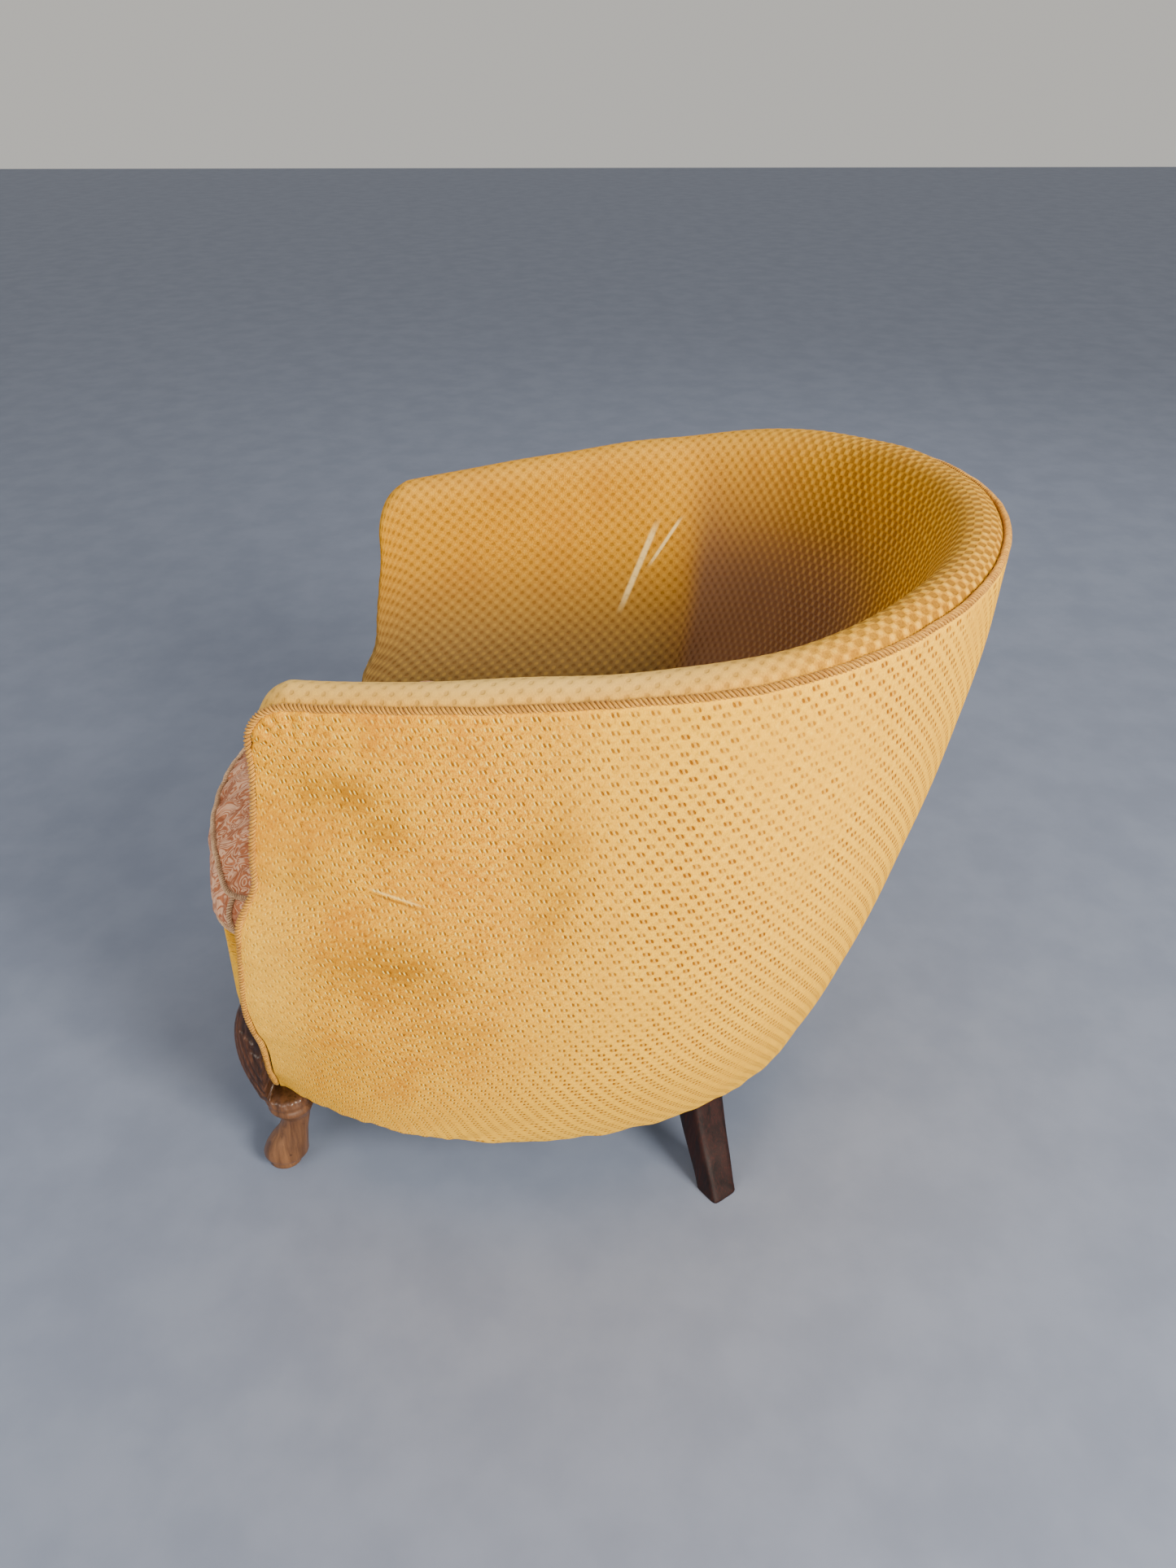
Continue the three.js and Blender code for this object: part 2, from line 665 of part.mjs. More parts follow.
// The arm's front face, in rows that match the inside cover's.
function armFrontCover(side) {
  const foot = DECK.top + 3;
  const wall = WALL_SHARES.map((share) => wallRow(1, share)).filter((z) => z > foot + 5);
  const heights = [foot, ...wall.reverse(), rimZ(1) - 6];
  return bentBox(2, heights.length - 1, 1, (a, b, c) => {
    const z = heights[Math.round(b * (heights.length - 1))];
    const depth = lerp(RIM_CORD.radius + 2, innerDepth(1, z) - GAP, a);
    const point = wallPoint(side, z, depth);
    return point.setY(point.y - lerp(GAP, GAP + COVER, c));
  });
}

// The cord sewn into the seam between the inside and outside covers, from one arm's foot to the other's.
function rimCord() {
  const half = [];
  for (const z of RIM_CORD_HEIGHTS) {
    const point = wallPoint(1, z, 1);
    half.push(point.setY(point.y - RIM_CORD.clear));
  }
  for (let i = 4; i >= 0; i -= 1) {
    const angle = (i / 4) * RIGHT_ANGLE;
    const tau = lerp(CORNER_START, 1, Math.sin(angle));
    const point = wallPoint(tau, rimZ(tau), 1);
    const out = new THREE.Vector3(0, -Math.sin(angle), Math.cos(angle) - 1);
    half.push(point.addScaledVector(out, RIM_CORD.clear));
  }
  for (let step = 12; step > 0; step -= 1) {
    const tau = (step / 13) * CORNER_START;
    half.push(wallPoint(tau, rimZ(tau), 1));
  }
  const middle = new THREE.Vector3(0, RIM.backY - 1, rimZ(0));
  const mirrored = half.map((p) => new THREE.Vector3(-p.x, p.y, p.z)).reverse();
  return tube(new THREE.CatmullRomCurve3([...half, middle, ...mirrored]), RIM_CORD.radius, 6, 112);
}

function dustCover() {
  const points = [];
  const columns = 20;
  for (let i = 0; i <= columns; i += 1) {
    points.push(wallPoint(lerp(-0.9, 0.9, i / columns), HEM.z, 24));
  }
  for (let i = 0; i < 7; i += 1) {
    const x = lerp(176, -176, i / 6);
    points.push(new THREE.Vector3(x, bowY(APRON, x) + APRON.thickness + 7, 0));
  }
  return cut(prism(points, HEM.z + 0.6, HEM.z + 2), ...frontLegSpaces(), ...rearLegSpaces());
}

// ---------- Seat cushion ----------

const CUSHION_MIDDLE = new THREE.Vector3(0, -90, 0);
const CUSHION_EDGE = seatOutline(CUSHION, CUSHION.bottom, {
  clearance: CUSHION_WALL.clearance, corner: CUSHION.cornerX, last: 1,
});

const crownShares = [1, 0.82, 0.58, 0.28];

// Rings of a crowned surface, from its edge to near its middle.
function crownRings(edgeZ, middleZ) {
  return crownShares.map((share) => ({ share, z: lerp(middleZ, edgeZ, share ** 2.4) }));
}

function cushionFilling() {
  const edge = offset(CUSHION_EDGE, -CUSHION_WALL.thickness - GAP);
  const rings = crownRings(CUSHION.topSeam - 4, CUSHION.crown - 4);
  const floor = CUSHION.bottom + CUSHION_WALL.thickness;
  const foot = [{ share: 0.96, z: floor }, { share: 1, z: floor + 6 }];
  return outlinePad(edge, [...foot, ...rings], CUSHION_MIDDLE);
}

// The top panel lies on the filling and ends inside the top seam's cord.
function cushionTopPanel() {
  const edge = offset(CUSHION_EDGE, -CUSHION_WALL.cord - GAP);
  const under = crownRings(CUSHION.topSeam - 2.4, CUSHION.crown - 2.4).reverse();
  const over = crownRings(CUSHION.topSeam, CUSHION.crown);
  return outlinePad(edge, [...under, ...over], CUSHION_MIDDLE);
}

function cushionBottomPanel() {
  const edge = offset(CUSHION_EDGE, -CUSHION_WALL.cord - 8);
  const top = CUSHION.bottom + CUSHION_WALL.thickness - GAP;
  return outlinePad(edge, [{ share: 1, z: CUSHION.bottom }, { share: 1, z: top }], CUSHION_MIDDLE);
}

// The border between the seams bulges out, with a thickness of cloth.
function cushionBorder() {
  const { cord, bulge, thickness } = CUSHION_WALL;
  const foot = CUSHION.lowSeam + cord + GAP;
  const head = CUSHION.topSeam - cord - GAP;
  const middle = (foot + head) / 2;
  return outlineBand(CUSHION_EDGE, [
    { out: bulge, z: middle },
    { out: 0, z: head },
    { out: -thickness, z: head },
    { out: bulge - thickness, z: middle },
    { out: -thickness, z: foot },
    { out: 0, z: foot },
  ]);
}

function cushionCord(z) {
  const section = circle(CUSHION_WALL.cord, 6).map((p) => ({ out: p.x, z: z + p.y }));
  return outlineBand(CUSHION_EDGE, section);
}

// ---------- Assembly ----------

function finish(color, roughness, metalness = 0) {
  return new THREE.MeshStandardMaterial({ color, roughness, metalness });
}

const beech = finish(0xc9ad84, 0.75);
const walnut = finish(0x7d5439, 0.45);
const mahogany = finish(0x3a2221, 0.4);
const steel = finish(0x77787a, 0.45, 1);
const jute = finish(0xae9467, 0.95);
const stuffing = finish(0x6d5a44, 1);
const velour = finish(0xe0aa62, 0.9);
const velvet = finish(0xa3704f, 0.85);
const goldCord = finish(0xcb994f, 0.8);
const cambric = finish(0x33302d, 0.95);

const armchair = new THREE.Group();
const frame = new THREE.Group();
const suspension = new THREE.Group();
const upholstery = new THREE.Group();
const cushion = new THREE.Group();
armchair.add(frame, suspension, upholstery, cushion);

function add(group, name, material, geometry) {
  const mesh = new THREE.Mesh(geometry, material);
  mesh.name = name;
  group.add(mesh);
}

add(frame, 'seat_rail_front', beech, frontSeatRail());
add(frame, 'seat_rail_rear', beech, seatRail(-0.27, 0.27, 10));
add(frame, 'back_top_rail', beech, backTopRail());
add(frame, 'stay_rail_rear', beech, stayRail(-0.295, 0.295, 10));
for (const [name, side] of Object.entries(SIDES)) {
  add(frame, `seat_rail_${name}`, beech, seatRail(side * 0.365, side * 0.91, 9));
  add(frame, `front_post_${name}`, beech, frontPost(side));
  add(frame, `back_post_${name}`, beech, backPost(side));
  add(frame, `arm_rail_${name}`, beech, armRail(side));
  add(frame, `stay_rail_${name}`, beech, stayRail(side * 0.35, side * 0.9, 10));
  add(frame, `corner_block_front_${name}`, beech, cornerBlock(FRONT_BLOCK, side, FRONT_SCREW));
  add(frame, `corner_block_rear_${name}`, beech, cornerBlock(REAR_BLOCK, side, REAR_SCREW));
  add(frame, `leg_screw_front_${name}`, steel, legScrew(FRONT_SCREW, side));
  add(frame, `leg_screw_rear_${name}`, steel, legScrew(REAR_SCREW, side));
  add(frame, `leg_front_${name}`, walnut, frontLeg(side));
  add(frame, `leg_rear_${name}`, mahogany, rearLeg(side));
  add(upholstery, `arm_front_cover_${name}`, velour, armFrontCover(side));
}
SPRING_Y.forEach((y, row) => {
  add(suspension, `web_across_${row + 1}`, jute, crossWeb(row));
  add(suspension, `web_along_${row + 1}`, jute, lengthWeb(row));
  SPRING_X.forEach((x, column) => {
    const spring = tube(new SpringPath(x, y), SPRING.wire / 2, 4, 30);
    add(suspension, `seat_spring_${row * SPRING_X.length + column + 1}`, steel, spring);
  });
});
add(suspension, 'spring_canvas', jute, springCanvas());
add(upholstery, 'seat_stuffing', stuffing, seatStuffing());
add(upholstery, 'seat_deck_cover', velour, seatDeck());
add(upholstery, 'front_apron', velour, frontApron());
add(upholstery, 'tub_hessian', jute, tubHessian());
add(upholstery, 'tub_padding', stuffing, tubPadding());
add(upholstery, 'inside_cover', velour, insideCover());
add(upholstery, 'outside_cover', velour, outsideCover());
add(upholstery, 'rim_cord', goldCord, rimCord());
add(upholstery, 'dust_cover', cambric, dustCover());
add(cushion, 'cushion_filling', stuffing, cushionFilling());
add(cushion, 'cushion_top_panel', velvet, cushionTopPanel());
add(cushion, 'cushion_bottom_panel', velvet, cushionBottomPanel());
add(cushion, 'cushion_border', velvet, cushionBorder());
add(cushion, 'cushion_cord_top', goldCord, cushionCord(CUSHION.topSeam));
add(cushion, 'cushion_cord_bottom', goldCord, cushionCord(CUSHION.lowSeam));

export default armchair;
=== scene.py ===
import math

import bpy
import numpy as np
from mathutils import Matrix, Vector
from mathutils.bvhtree import BVHTree


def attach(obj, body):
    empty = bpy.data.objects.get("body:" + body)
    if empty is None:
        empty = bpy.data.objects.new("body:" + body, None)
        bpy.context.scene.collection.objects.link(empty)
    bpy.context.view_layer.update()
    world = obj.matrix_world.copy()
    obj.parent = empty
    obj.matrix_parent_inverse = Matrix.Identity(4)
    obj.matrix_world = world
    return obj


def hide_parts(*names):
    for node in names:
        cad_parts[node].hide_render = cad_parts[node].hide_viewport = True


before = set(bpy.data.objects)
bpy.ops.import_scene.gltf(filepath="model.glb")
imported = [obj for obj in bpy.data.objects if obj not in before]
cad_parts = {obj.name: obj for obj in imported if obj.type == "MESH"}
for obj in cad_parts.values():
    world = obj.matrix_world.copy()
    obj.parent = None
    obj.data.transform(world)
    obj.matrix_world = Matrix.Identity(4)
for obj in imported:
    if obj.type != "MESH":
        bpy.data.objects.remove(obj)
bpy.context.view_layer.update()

LEFT, RIGHT = 1, -1
SIDE_NAMES = {LEFT: "left", RIGHT: "right"}
TURN = 2 * math.pi

# The shell, as the CAD states it, in metres.
HEM = {"z": 0.1034, "half_width": 0.288, "side_y": -0.109, "back_y": 0.2703, "taper": 0.24, "round": 0.93}
RIM = {"half_width": 0.3547, "side_y": 0.1177, "back_y": 0.4181, "taper": 0.18, "round": 1.03}
RIM_FRONT_Z, RIM_MIDDLE_Z, RIM_BACK_Z, RIM_FRONT_Y = 0.6348, 0.6787, 0.723, -0.2649
# How fast the wall spreads as it rises from the hem: 1 is evenly, and more is sooner.
SIDE_FLARE, BACK_FLARE = 3.85, 1.46
ARM_FRONT_Y = -0.2706
ARM_CORNER = 0.038
BACK_SHARE = 0.6
DECK_TOP = 0.3196
TUCK_Z = 0.262
PAD_OUTER = 0.0332
# The padded roll, as (share of the roll's depth, rise above the rim), and the wall below it.
ROLL = [(0.05, -0.003), (0.11, 0.0015), (0.2, 0.0075), (0.45, 0.013), (0.75, 0.008), (0.95, -0.008)]
WALL_SHARES = [0, 0.25, 0.4, 0.52, 0.66, 0.84, 1]
# A bow is a front line seen from above: its middle, and where it ends at the corners.
APRON = {"middle_y": -0.418, "corner_y": -0.338, "corner_x": 0.27}
PLATFORM = {"middle_y": -0.413, "corner_y": -0.332, "corner_x": 0.272}
CUSHION = {"middle_y": -0.418, "corner_y": -0.349, "corner_x": 0.226}
APRON_BOTTOM, APRON_TOP = 0.1125, 0.3176
# The apron's fold over the deck's edge, as steps back and up from its top row.
APRON_FOLD = [
    (0.0008, 0.0009), (0.0024, 0.0016), (0.008, 0.0018), (0.018, 0.0018), (0.026, 0.0012), (0.032, -0.002),
]
KNEE_INNER_X, KNEE_MIDDLE_X = 0.187, 0.225
# The deck's edge, from its foot inwards, as (share of the outline, height).
DECK_EDGE = [(1.0, 0.288), (1.0, 0.309), (0.985, 0.3145), (0.95, 0.3158), (0.92, 0.3168), (0.91, 0.3178)]
CUSHION_BOTTOM, LOW_SEAM, TOP_SEAM, CROWN_Z = 0.3203, 0.3265, 0.384, 0.407
CUSHION_CLEAR = 0.015
SEAT_MIDDLE = np.array([0, -0.09, 0.0])
CUSHION_VOXEL, CLOTH_FRAMES, FURTHEST_SWELL = 0.0055, 24, 0.022
# Where the cord runs over the cushion's front corners, and where their creases are centred, on the left.
CORNER_CORD_AT, CORNER_CREASES_AT = (0.221, -0.346), (0.212, -0.338)
CREASE_DEPTHS = {LEFT: 0.0034, RIGHT: 0.0018}
RIM_CORD_RADIUS, CUSHION_CORD_RADIUS = 0.004, 0.0034
STRANDS = 3
# The length of one turn of each cord's twist.
RIM_CORD_LAY, CUSHION_CORD_LAY = 0.0125, 0.0085
# How far in front of the arm's edge the cord stands. The right arm's is pushed back by its padding.
CORD_STANDS = {LEFT: 0.0064, RIGHT: -0.001}
FRONT_BULGE = {LEFT: 0.009, RIGHT: 0.004}
# From mark to mark along a row of the velour's woven pattern.
VELOUR_REPEAT = 0.016
COVER_THICKNESS, APRON_THICKNESS, CAMBRIC_THICKNESS = 0.0022, 0.0024, 0.001
# Soiled patches of the outside cover: distance round the rim from the back's middle, height, their
# half sizes, and how dark they are.
SOILED = [
    (0.83, 0.56, 0.05, 0.022, 0.8), (0.79, 0.535, 0.03, 0.03, 0.7), (0.76, 0.37, 0.07, 0.05, 0.75),
    (0.70, 0.30, 0.05, 0.03, 0.4), (0.63, 0.50, 0.03, 0.08, 0.6), (0.86, 0.45, 0.03, 0.05, 0.3),
    (-0.75, 0.40, 0.06, 0.05, 0.6), (-0.55, 0.52, 0.05, 0.04, 0.4), (0.1, 0.45, 0.06, 0.05, 0.4),
]
# A short crease in the outside cover, painted as a highlight beside a line of shade, in cloth coordinates,
# and scratches on the far wall: start and end as (z, y), and half width.
CREASE_START, CREASE_END, CREASE_HALF_WIDTH = (0.803, -0.184), (0.742, -0.206), 0.0050
SCRATCHES = [((0.606, 0.080), (0.470, 0.027), 0.0054), ((0.608, 0.110), (0.535, 0.064), 0.0034)]


# ---------- Small maths ----------

def lerp(a, b, t):
    """The value a share t of the way from a to b."""
    return a + (b - a) * t


def ramp(x, low, high):
    """Rises smoothly from 0 at low to 1 at high, which may be the smaller of the two."""
    t = np.clip((np.asarray(x, float) - low) / (high - low), 0, 1)
    return t * t * (3 - 2 * t)


def bell(x, middle, reach):
    """1 at the middle, falling away smoothly on both sides."""
    return np.exp(-((x - middle) / reach) ** 2)


def wander(x, y, size, seed):
    """A smooth field from about -1 to 1 that changes over a distance of about size."""
    rng = np.random.default_rng(seed)
    total = 0
    for _ in range(7):
        angle, phase = rng.uniform(0, TURN, 2)
        reach = TURN / (size * rng.uniform(0.7, 1.6))
        total = total + np.cos(reach * (x * math.cos(angle) + y * math.sin(angle)) + phase)
    return total / 3.4


def stacked(*parts):
    """Arrays spread to one shape and put together along a new last axis."""
    return np.stack(np.broadcast_arrays(*parts), axis=-1)


def spline(keys, parameter):
    """Catmull-Rom through keys, an array (keys, ...), at parameters from 0 to keys - 1."""
    padded = np.concatenate([2 * keys[:1] - keys[1:2], keys, 2 * keys[-1:] - keys[-2:-1]])
    at = np.clip(np.floor(parameter).astype(int), 0, len(keys) - 2)
    t = (parameter - at).reshape((-1,) + (1,) * (keys.ndim - 1))
    a, b, c, d = (padded[at + i] for i in range(4))
    return 0.5 * (2 * b + (c - a) * t + (2 * a - 5 * b + 4 * c - d) * t**2 + (3 * b - a - 3 * c + d) * t**3)


def arc_lengths(points):
    """Distance along the first axis of an array of points (n, ..., 3)."""
    steps = np.linalg.norm(np.diff(points, axis=0), axis=-1)
    return np.concatenate([np.zeros((1,) + steps.shape[1:]), np.cumsum(steps, axis=0)])


def resampled(points, count, closed=False):
    """count points evenly spaced along a line of points."""
    if closed:
        points = np.concatenate([points, points[:1]])
    along = arc_lengths(points)
    want = np.linspace(0, along[-1], count, endpoint=not closed)
    return np.stack([np.interp(want, along, points[:, k]) for k in range(3)], axis=1)


# ---------- The shell's shape ----------
# u runs round the horseshoe: 0 is the back's middle, 1 the left arm's front edge and -1 the right arm's.
# tau is u without its sign.

def front_edge_y(z):
    lower = 0.017 * (1 - ramp(z, 0.44, 0.58)) + 0.027 * (1 - ramp(z, 0.376, 0.448))
    knee_cut = 0.0075 * bell(z, 0.2, 0.045)
    return ARM_FRONT_Y - lower - 0.016 * (1 - ramp(z, 0.24, 0.4)) + knee_cut


def rim_y(tau):
    sweep = np.clip(1 - tau / BACK_SHARE, 0, 1) * math.pi / 2
    rear = RIM["side_y"] + (RIM["back_y"] - RIM["side_y"]) * np.sin(sweep) ** RIM["round"]
    front = lerp(RIM["side_y"], ARM_FRONT_Y, (tau - BACK_SHARE) / (1 - BACK_SHARE))
    return np.where(tau < BACK_SHARE, rear, front)


def rim_line_z(tau):
    s = np.clip((rim_y(tau) - RIM_FRONT_Y) / (RIM["back_y"] - RIM_FRONT_Y), 0, 1)
    return RIM_FRONT_Z * (1 - s) * (1 - 2 * s) + RIM_MIDDLE_Z * 4 * s * (1 - s) + RIM_BACK_Z * s * (2 * s - 1)


def rim_z(tau):
    past = np.clip(ARM_FRONT_Y + ARM_CORNER - rim_y(tau), 0, ARM_CORNER)
    return rim_line_z(tau) - (ARM_CORNER - np.sqrt(ARM_CORNER**2 - past**2))


CORNER_START = lerp(BACK_SHARE, 1, (RIM["side_y"] - ARM_FRONT_Y - ARM_CORNER) / (RIM["side_y"] - ARM_FRONT_Y))
ARM_TOP_Z = float(rim_z(1.0))


def outline(tau, z):
    """The outside face's x and y, for the left half."""
    rise = np.clip((z - HEM["z"]) / (rim_line_z(tau) - HEM["z"]), 0, 1)
    spread = 1 - (1 - rise) ** SIDE_FLARE
    half_width, side_y, roundness, taper = (lerp(HEM[k], RIM[k], spread)
                                            for k in ("half_width", "side_y", "round", "taper"))
    back_y = lerp(HEM["back_y"], RIM["back_y"], 1 - (1 - rise) ** BACK_FLARE)
    sweep = np.clip(1 - tau / BACK_SHARE, 0, 1) * math.pi / 2
    along = np.clip((tau - BACK_SHARE) / (1 - BACK_SHARE), 0, 1)
    rear = tau < BACK_SHARE
    x = half_width * np.where(rear, np.cos(sweep) ** roundness, 1 - taper * along**2)
    y = np.where(rear, side_y + (back_y - side_y) * np.sin(sweep) ** roundness,
                 lerp(side_y, front_edge_y(z), along))
    return x, y


def wall_point(u, z, depth):
    """A point of the wall, at a depth in from the outside cover's face."""
    u, z, depth = (np.asarray(v, float) for v in np.broadcast_arrays(u, z, depth))
    tau = np.abs(u)
    x, y = outline(tau, z)
    ahead, behind = outline(np.minimum(tau + 0.01, 1), z), outline(np.maximum(tau - 0.01, 0), z)
    inward = np.stack([ahead[1] - behind[1], behind[0] - ahead[0]])
    inward[:, tau < 0.01] = [[0], [-1]]
    inward /= np.linalg.norm(inward, axis=0)
    # Along the arms the way in turns to straight across the chair.
    across = np.array([-1.0, 0.0]).reshape((2,) + (1,) * u.ndim)
    inward = lerp(inward, across, ramp(tau, BACK_SHARE, 0.95))
    inward /= np.linalg.norm(inward, axis=0)
    return stacked(np.sign(u) * (x + inward[0] * depth), y + inward[1] * depth, z)


def inner_top(tau):
    """The roll's thickness, in from the outside cover's face."""
    return lerp(0.058, 0.050, tau)


def inner_depth(tau, z):
    """How far in from the outside cover's face the inside cover is, below the roll."""
    back = lerp(0.142, 0.095, ramp(tau, 0, BACK_SHARE))
    seat = lerp(back, 0.042, ramp(tau, BACK_SHARE, 1))
    fall = np.clip((rim_z(tau) - z) / (rim_z(tau) - DECK_TOP), 0, 1)
    return lerp(inner_top(tau), seat, fall)


def shell_columns(count):
    """Values of u from one arm's front to the other's, evenly spaced along the rim's seam."""
    fine = np.concatenate([np.linspace(0, CORNER_START, 400),
                           lerp(CORNER_START, 1, np.sin(np.linspace(0.02, 1, 60) * math.pi / 2))])
    along = arc_lengths(wall_point(fine, rim_z(fine), 0))
    half = np.interp(np.linspace(0, along[-1], count // 2 + 1), along, fine)
    return np.concatenate([-half[:0:-1], half])


def along_rim(u):
    """Distance along the rim's seam from the back's middle."""
    along = arc_lengths(wall_point(u, rim_z(np.abs(u)), 0))
    return along - along[len(along) // 2]


def bow_y(bow, x):
    """Where a bow's front line lies at x."""
    return lerp(bow["middle_y"], bow["corner_y"], (x / bow["corner_x"]) ** 2)


# ---------- Meshes ----------

def make_mesh(name, points, faces, uvs=None):
    """A piece from points and faces. uvs are one pair for each corner, in metres of cloth."""
    mesh = bpy.data.meshes.new(name)
    mesh.from_pydata(np.asarray(points).tolist(), [], faces)
    if uvs is not None:
        mesh.uv_layers.new(name="cloth").data.foreach_set("uv", np.asarray(uvs, np.float32).ravel())
    mesh.shade_smooth()
    mesh.update()
    piece = bpy.data.objects.new(name, mesh)
    bpy.context.scene.collection.objects.link(piece)
    return piece


def grid_faces(rows, columns, wrap_rows=False, wrap_columns=False, flip=False):
    a = np.arange(rows - (not wrap_rows))[:, None]
    b = np.arange(columns - (not wrap_columns))[None, :]
    def index(i, j):
        return (i % rows) * columns + (j % columns)
    quads = stacked(index(a, b), index(a, b + 1), index(a + 1, b + 1), index(a + 1, b))
    if flip:
        quads = quads[..., ::-1]
    return quads.reshape(-1, 4)


def grid_piece(name, points, uv, wrap_rows=False, wrap_columns=False, flip=False, caps=False):
    """A piece from points (rows, columns, 3), with cloth coordinates (rows, columns, 2)."""
    rows, columns = points.shape[:2]
    quads = grid_faces(rows, columns, wrap_rows, wrap_columns, flip)
    faces = quads.tolist()
    flat_uv = uv.reshape(-1, 2)
    corner_uv = flat_uv[quads.ravel()]
    if caps:
        first, last = list(range(columns)), list(range((rows - 1) * columns, rows * columns))
        rings = [first, last[::-1]] if flip else [first[::-1], last]
        faces += rings
        corner_uv = np.concatenate([corner_uv] + [flat_uv[ring] for ring in rings])
    return make_mesh(name, points.reshape(-1, 3), faces, corner_uv)


def pillow(name, front, back, uv):
    """A closed piece from a front and a back grid of the same size, joined round their edges."""
    rows, columns = front.shape[:2]
    count = rows * columns
    index = np.arange(count).reshape(rows, columns)
    ring = np.concatenate([index[0, :-1], index[:-1, -1], index[-1, :0:-1], index[:0:-1, 0]])
    following = np.roll(ring, -1)
    edge = stacked(ring, following, following + count, ring + count)
    quads = np.concatenate([grid_faces(rows, columns, flip=True), grid_faces(rows, columns) + count, edge])
    flat_uv = np.concatenate([uv.reshape(-1, 2)] * 2)
    return make_mesh(name, np.concatenate([front.reshape(-1, 3), back.reshape(-1, 3)]), quads.tolist(),
                     flat_uv[quads.ravel()])


def add_attributes(piece, shape, **fields):
    """Adds values for each point of a grid, for the materials to read. Points past the grid get 0."""
    for name, values in fields.items():
        spread = np.zeros(len(piece.data.vertices), np.float32)
        spread[:shape[0] * shape[1]] = np.broadcast_to(values, shape).ravel()
        piece.data.attributes.new(name, "FLOAT", "POINT").data.foreach_set("value", spread)


def thicken(piece, thickness, offset=-1):
    modifier = piece.modifiers.new("thickness", "SOLIDIFY")
    modifier.thickness = thickness
    modifier.offset = offset


def frames_along(path, closed=False):
    """Unit sides and ups along a line of points, with no twist."""
    if closed:
        tangents = np.roll(path, -1, 0) - np.roll(path, 1, 0)
    else:
        tangents = np.gradient(path, axis=0)
    tangents /= np.linalg.norm(tangents, axis=1)[:, None]
    side = np.cross(tangents[0], [0, 0, 1.0])
    if np.linalg.norm(side) < 0.2:
        side = np.cross(tangents[0], [0, 1.0, 0])
    sides = []
    for tangent in tangents:
        side = side - tangent * np.dot(side, tangent)
        side = side / np.linalg.norm(side)
        sides.append(side)
    return np.array(sides), np.cross(tangents, sides)


def strand_outline(around, radius):
    """How far the surface of a cord of round strands is from its middle, at angles round it."""
    strand = radius * 0.5
    nearest = (around + math.pi / STRANDS) % (TURN / STRANDS) - math.pi / STRANDS
    across = strand * np.sin(nearest)
    reach = strand * np.cos(nearest) + np.sqrt(np.maximum((radius - strand) ** 2 - across**2, 0))
    return np.maximum(reach, radius * 0.52)


def twisted_cord(name, path, radius, lay, step, closed=False, sides=18):
    """A cord of three twisted strands along a line of points. lay is the length of one turn."""
    long = arc_lengths(np.concatenate([path, path[:1]]) if closed else path)[-1]
    count = int(long / step)
    path = resampled(path, count, closed)
    side, up = frames_along(path, closed)
    turns, miss, spaces = long / lay, 0.0, count - 1
    if closed:
        # The untwisted frame may meet itself turned; that turn is shared out along the cord.
        again, _ = frames_along(np.concatenate([path, path[:2]]))
        miss = math.atan2(float(np.dot(again[-2], up[0])), float(np.dot(again[-2], side[0])))
        turns, spaces = round(turns), count
    share = (np.arange(count) / spaces)[:, None]
    around = np.linspace(0, TURN, sides, endpoint=False)
    angle = (around + share * (TURN * turns - miss))[..., None]
    spoke = np.cos(angle) * side[:, None] + np.sin(angle) * up[:, None]
    points = path[:, None] + strand_outline(around, radius)[:, None] * spoke
    uv = stacked(share * long, around / TURN * STRANDS)
    return grid_piece(name, points, uv, wrap_rows=closed, wrap_columns=True, caps=not closed, flip=True)


# ---------- Materials ----------

VELOUR_SHEEN = (0.05, 0.35, (1.0, 0.76, 0.36, 1.0))


def rgb(red, green, blue):
    """A linear colour from display values of 0 to 255."""
    def channel(value):
        value /= 255
        return value / 12.92 if value <= 0.04045 else ((value + 0.055) / 1.055) ** 2.4
    return (channel(red), channel(green), channel(blue), 1.0)


def darker(colour, share):
    """A colour at a share of its brightness."""
    return tuple(v * share for v in colour[:3]) + (1.0,)


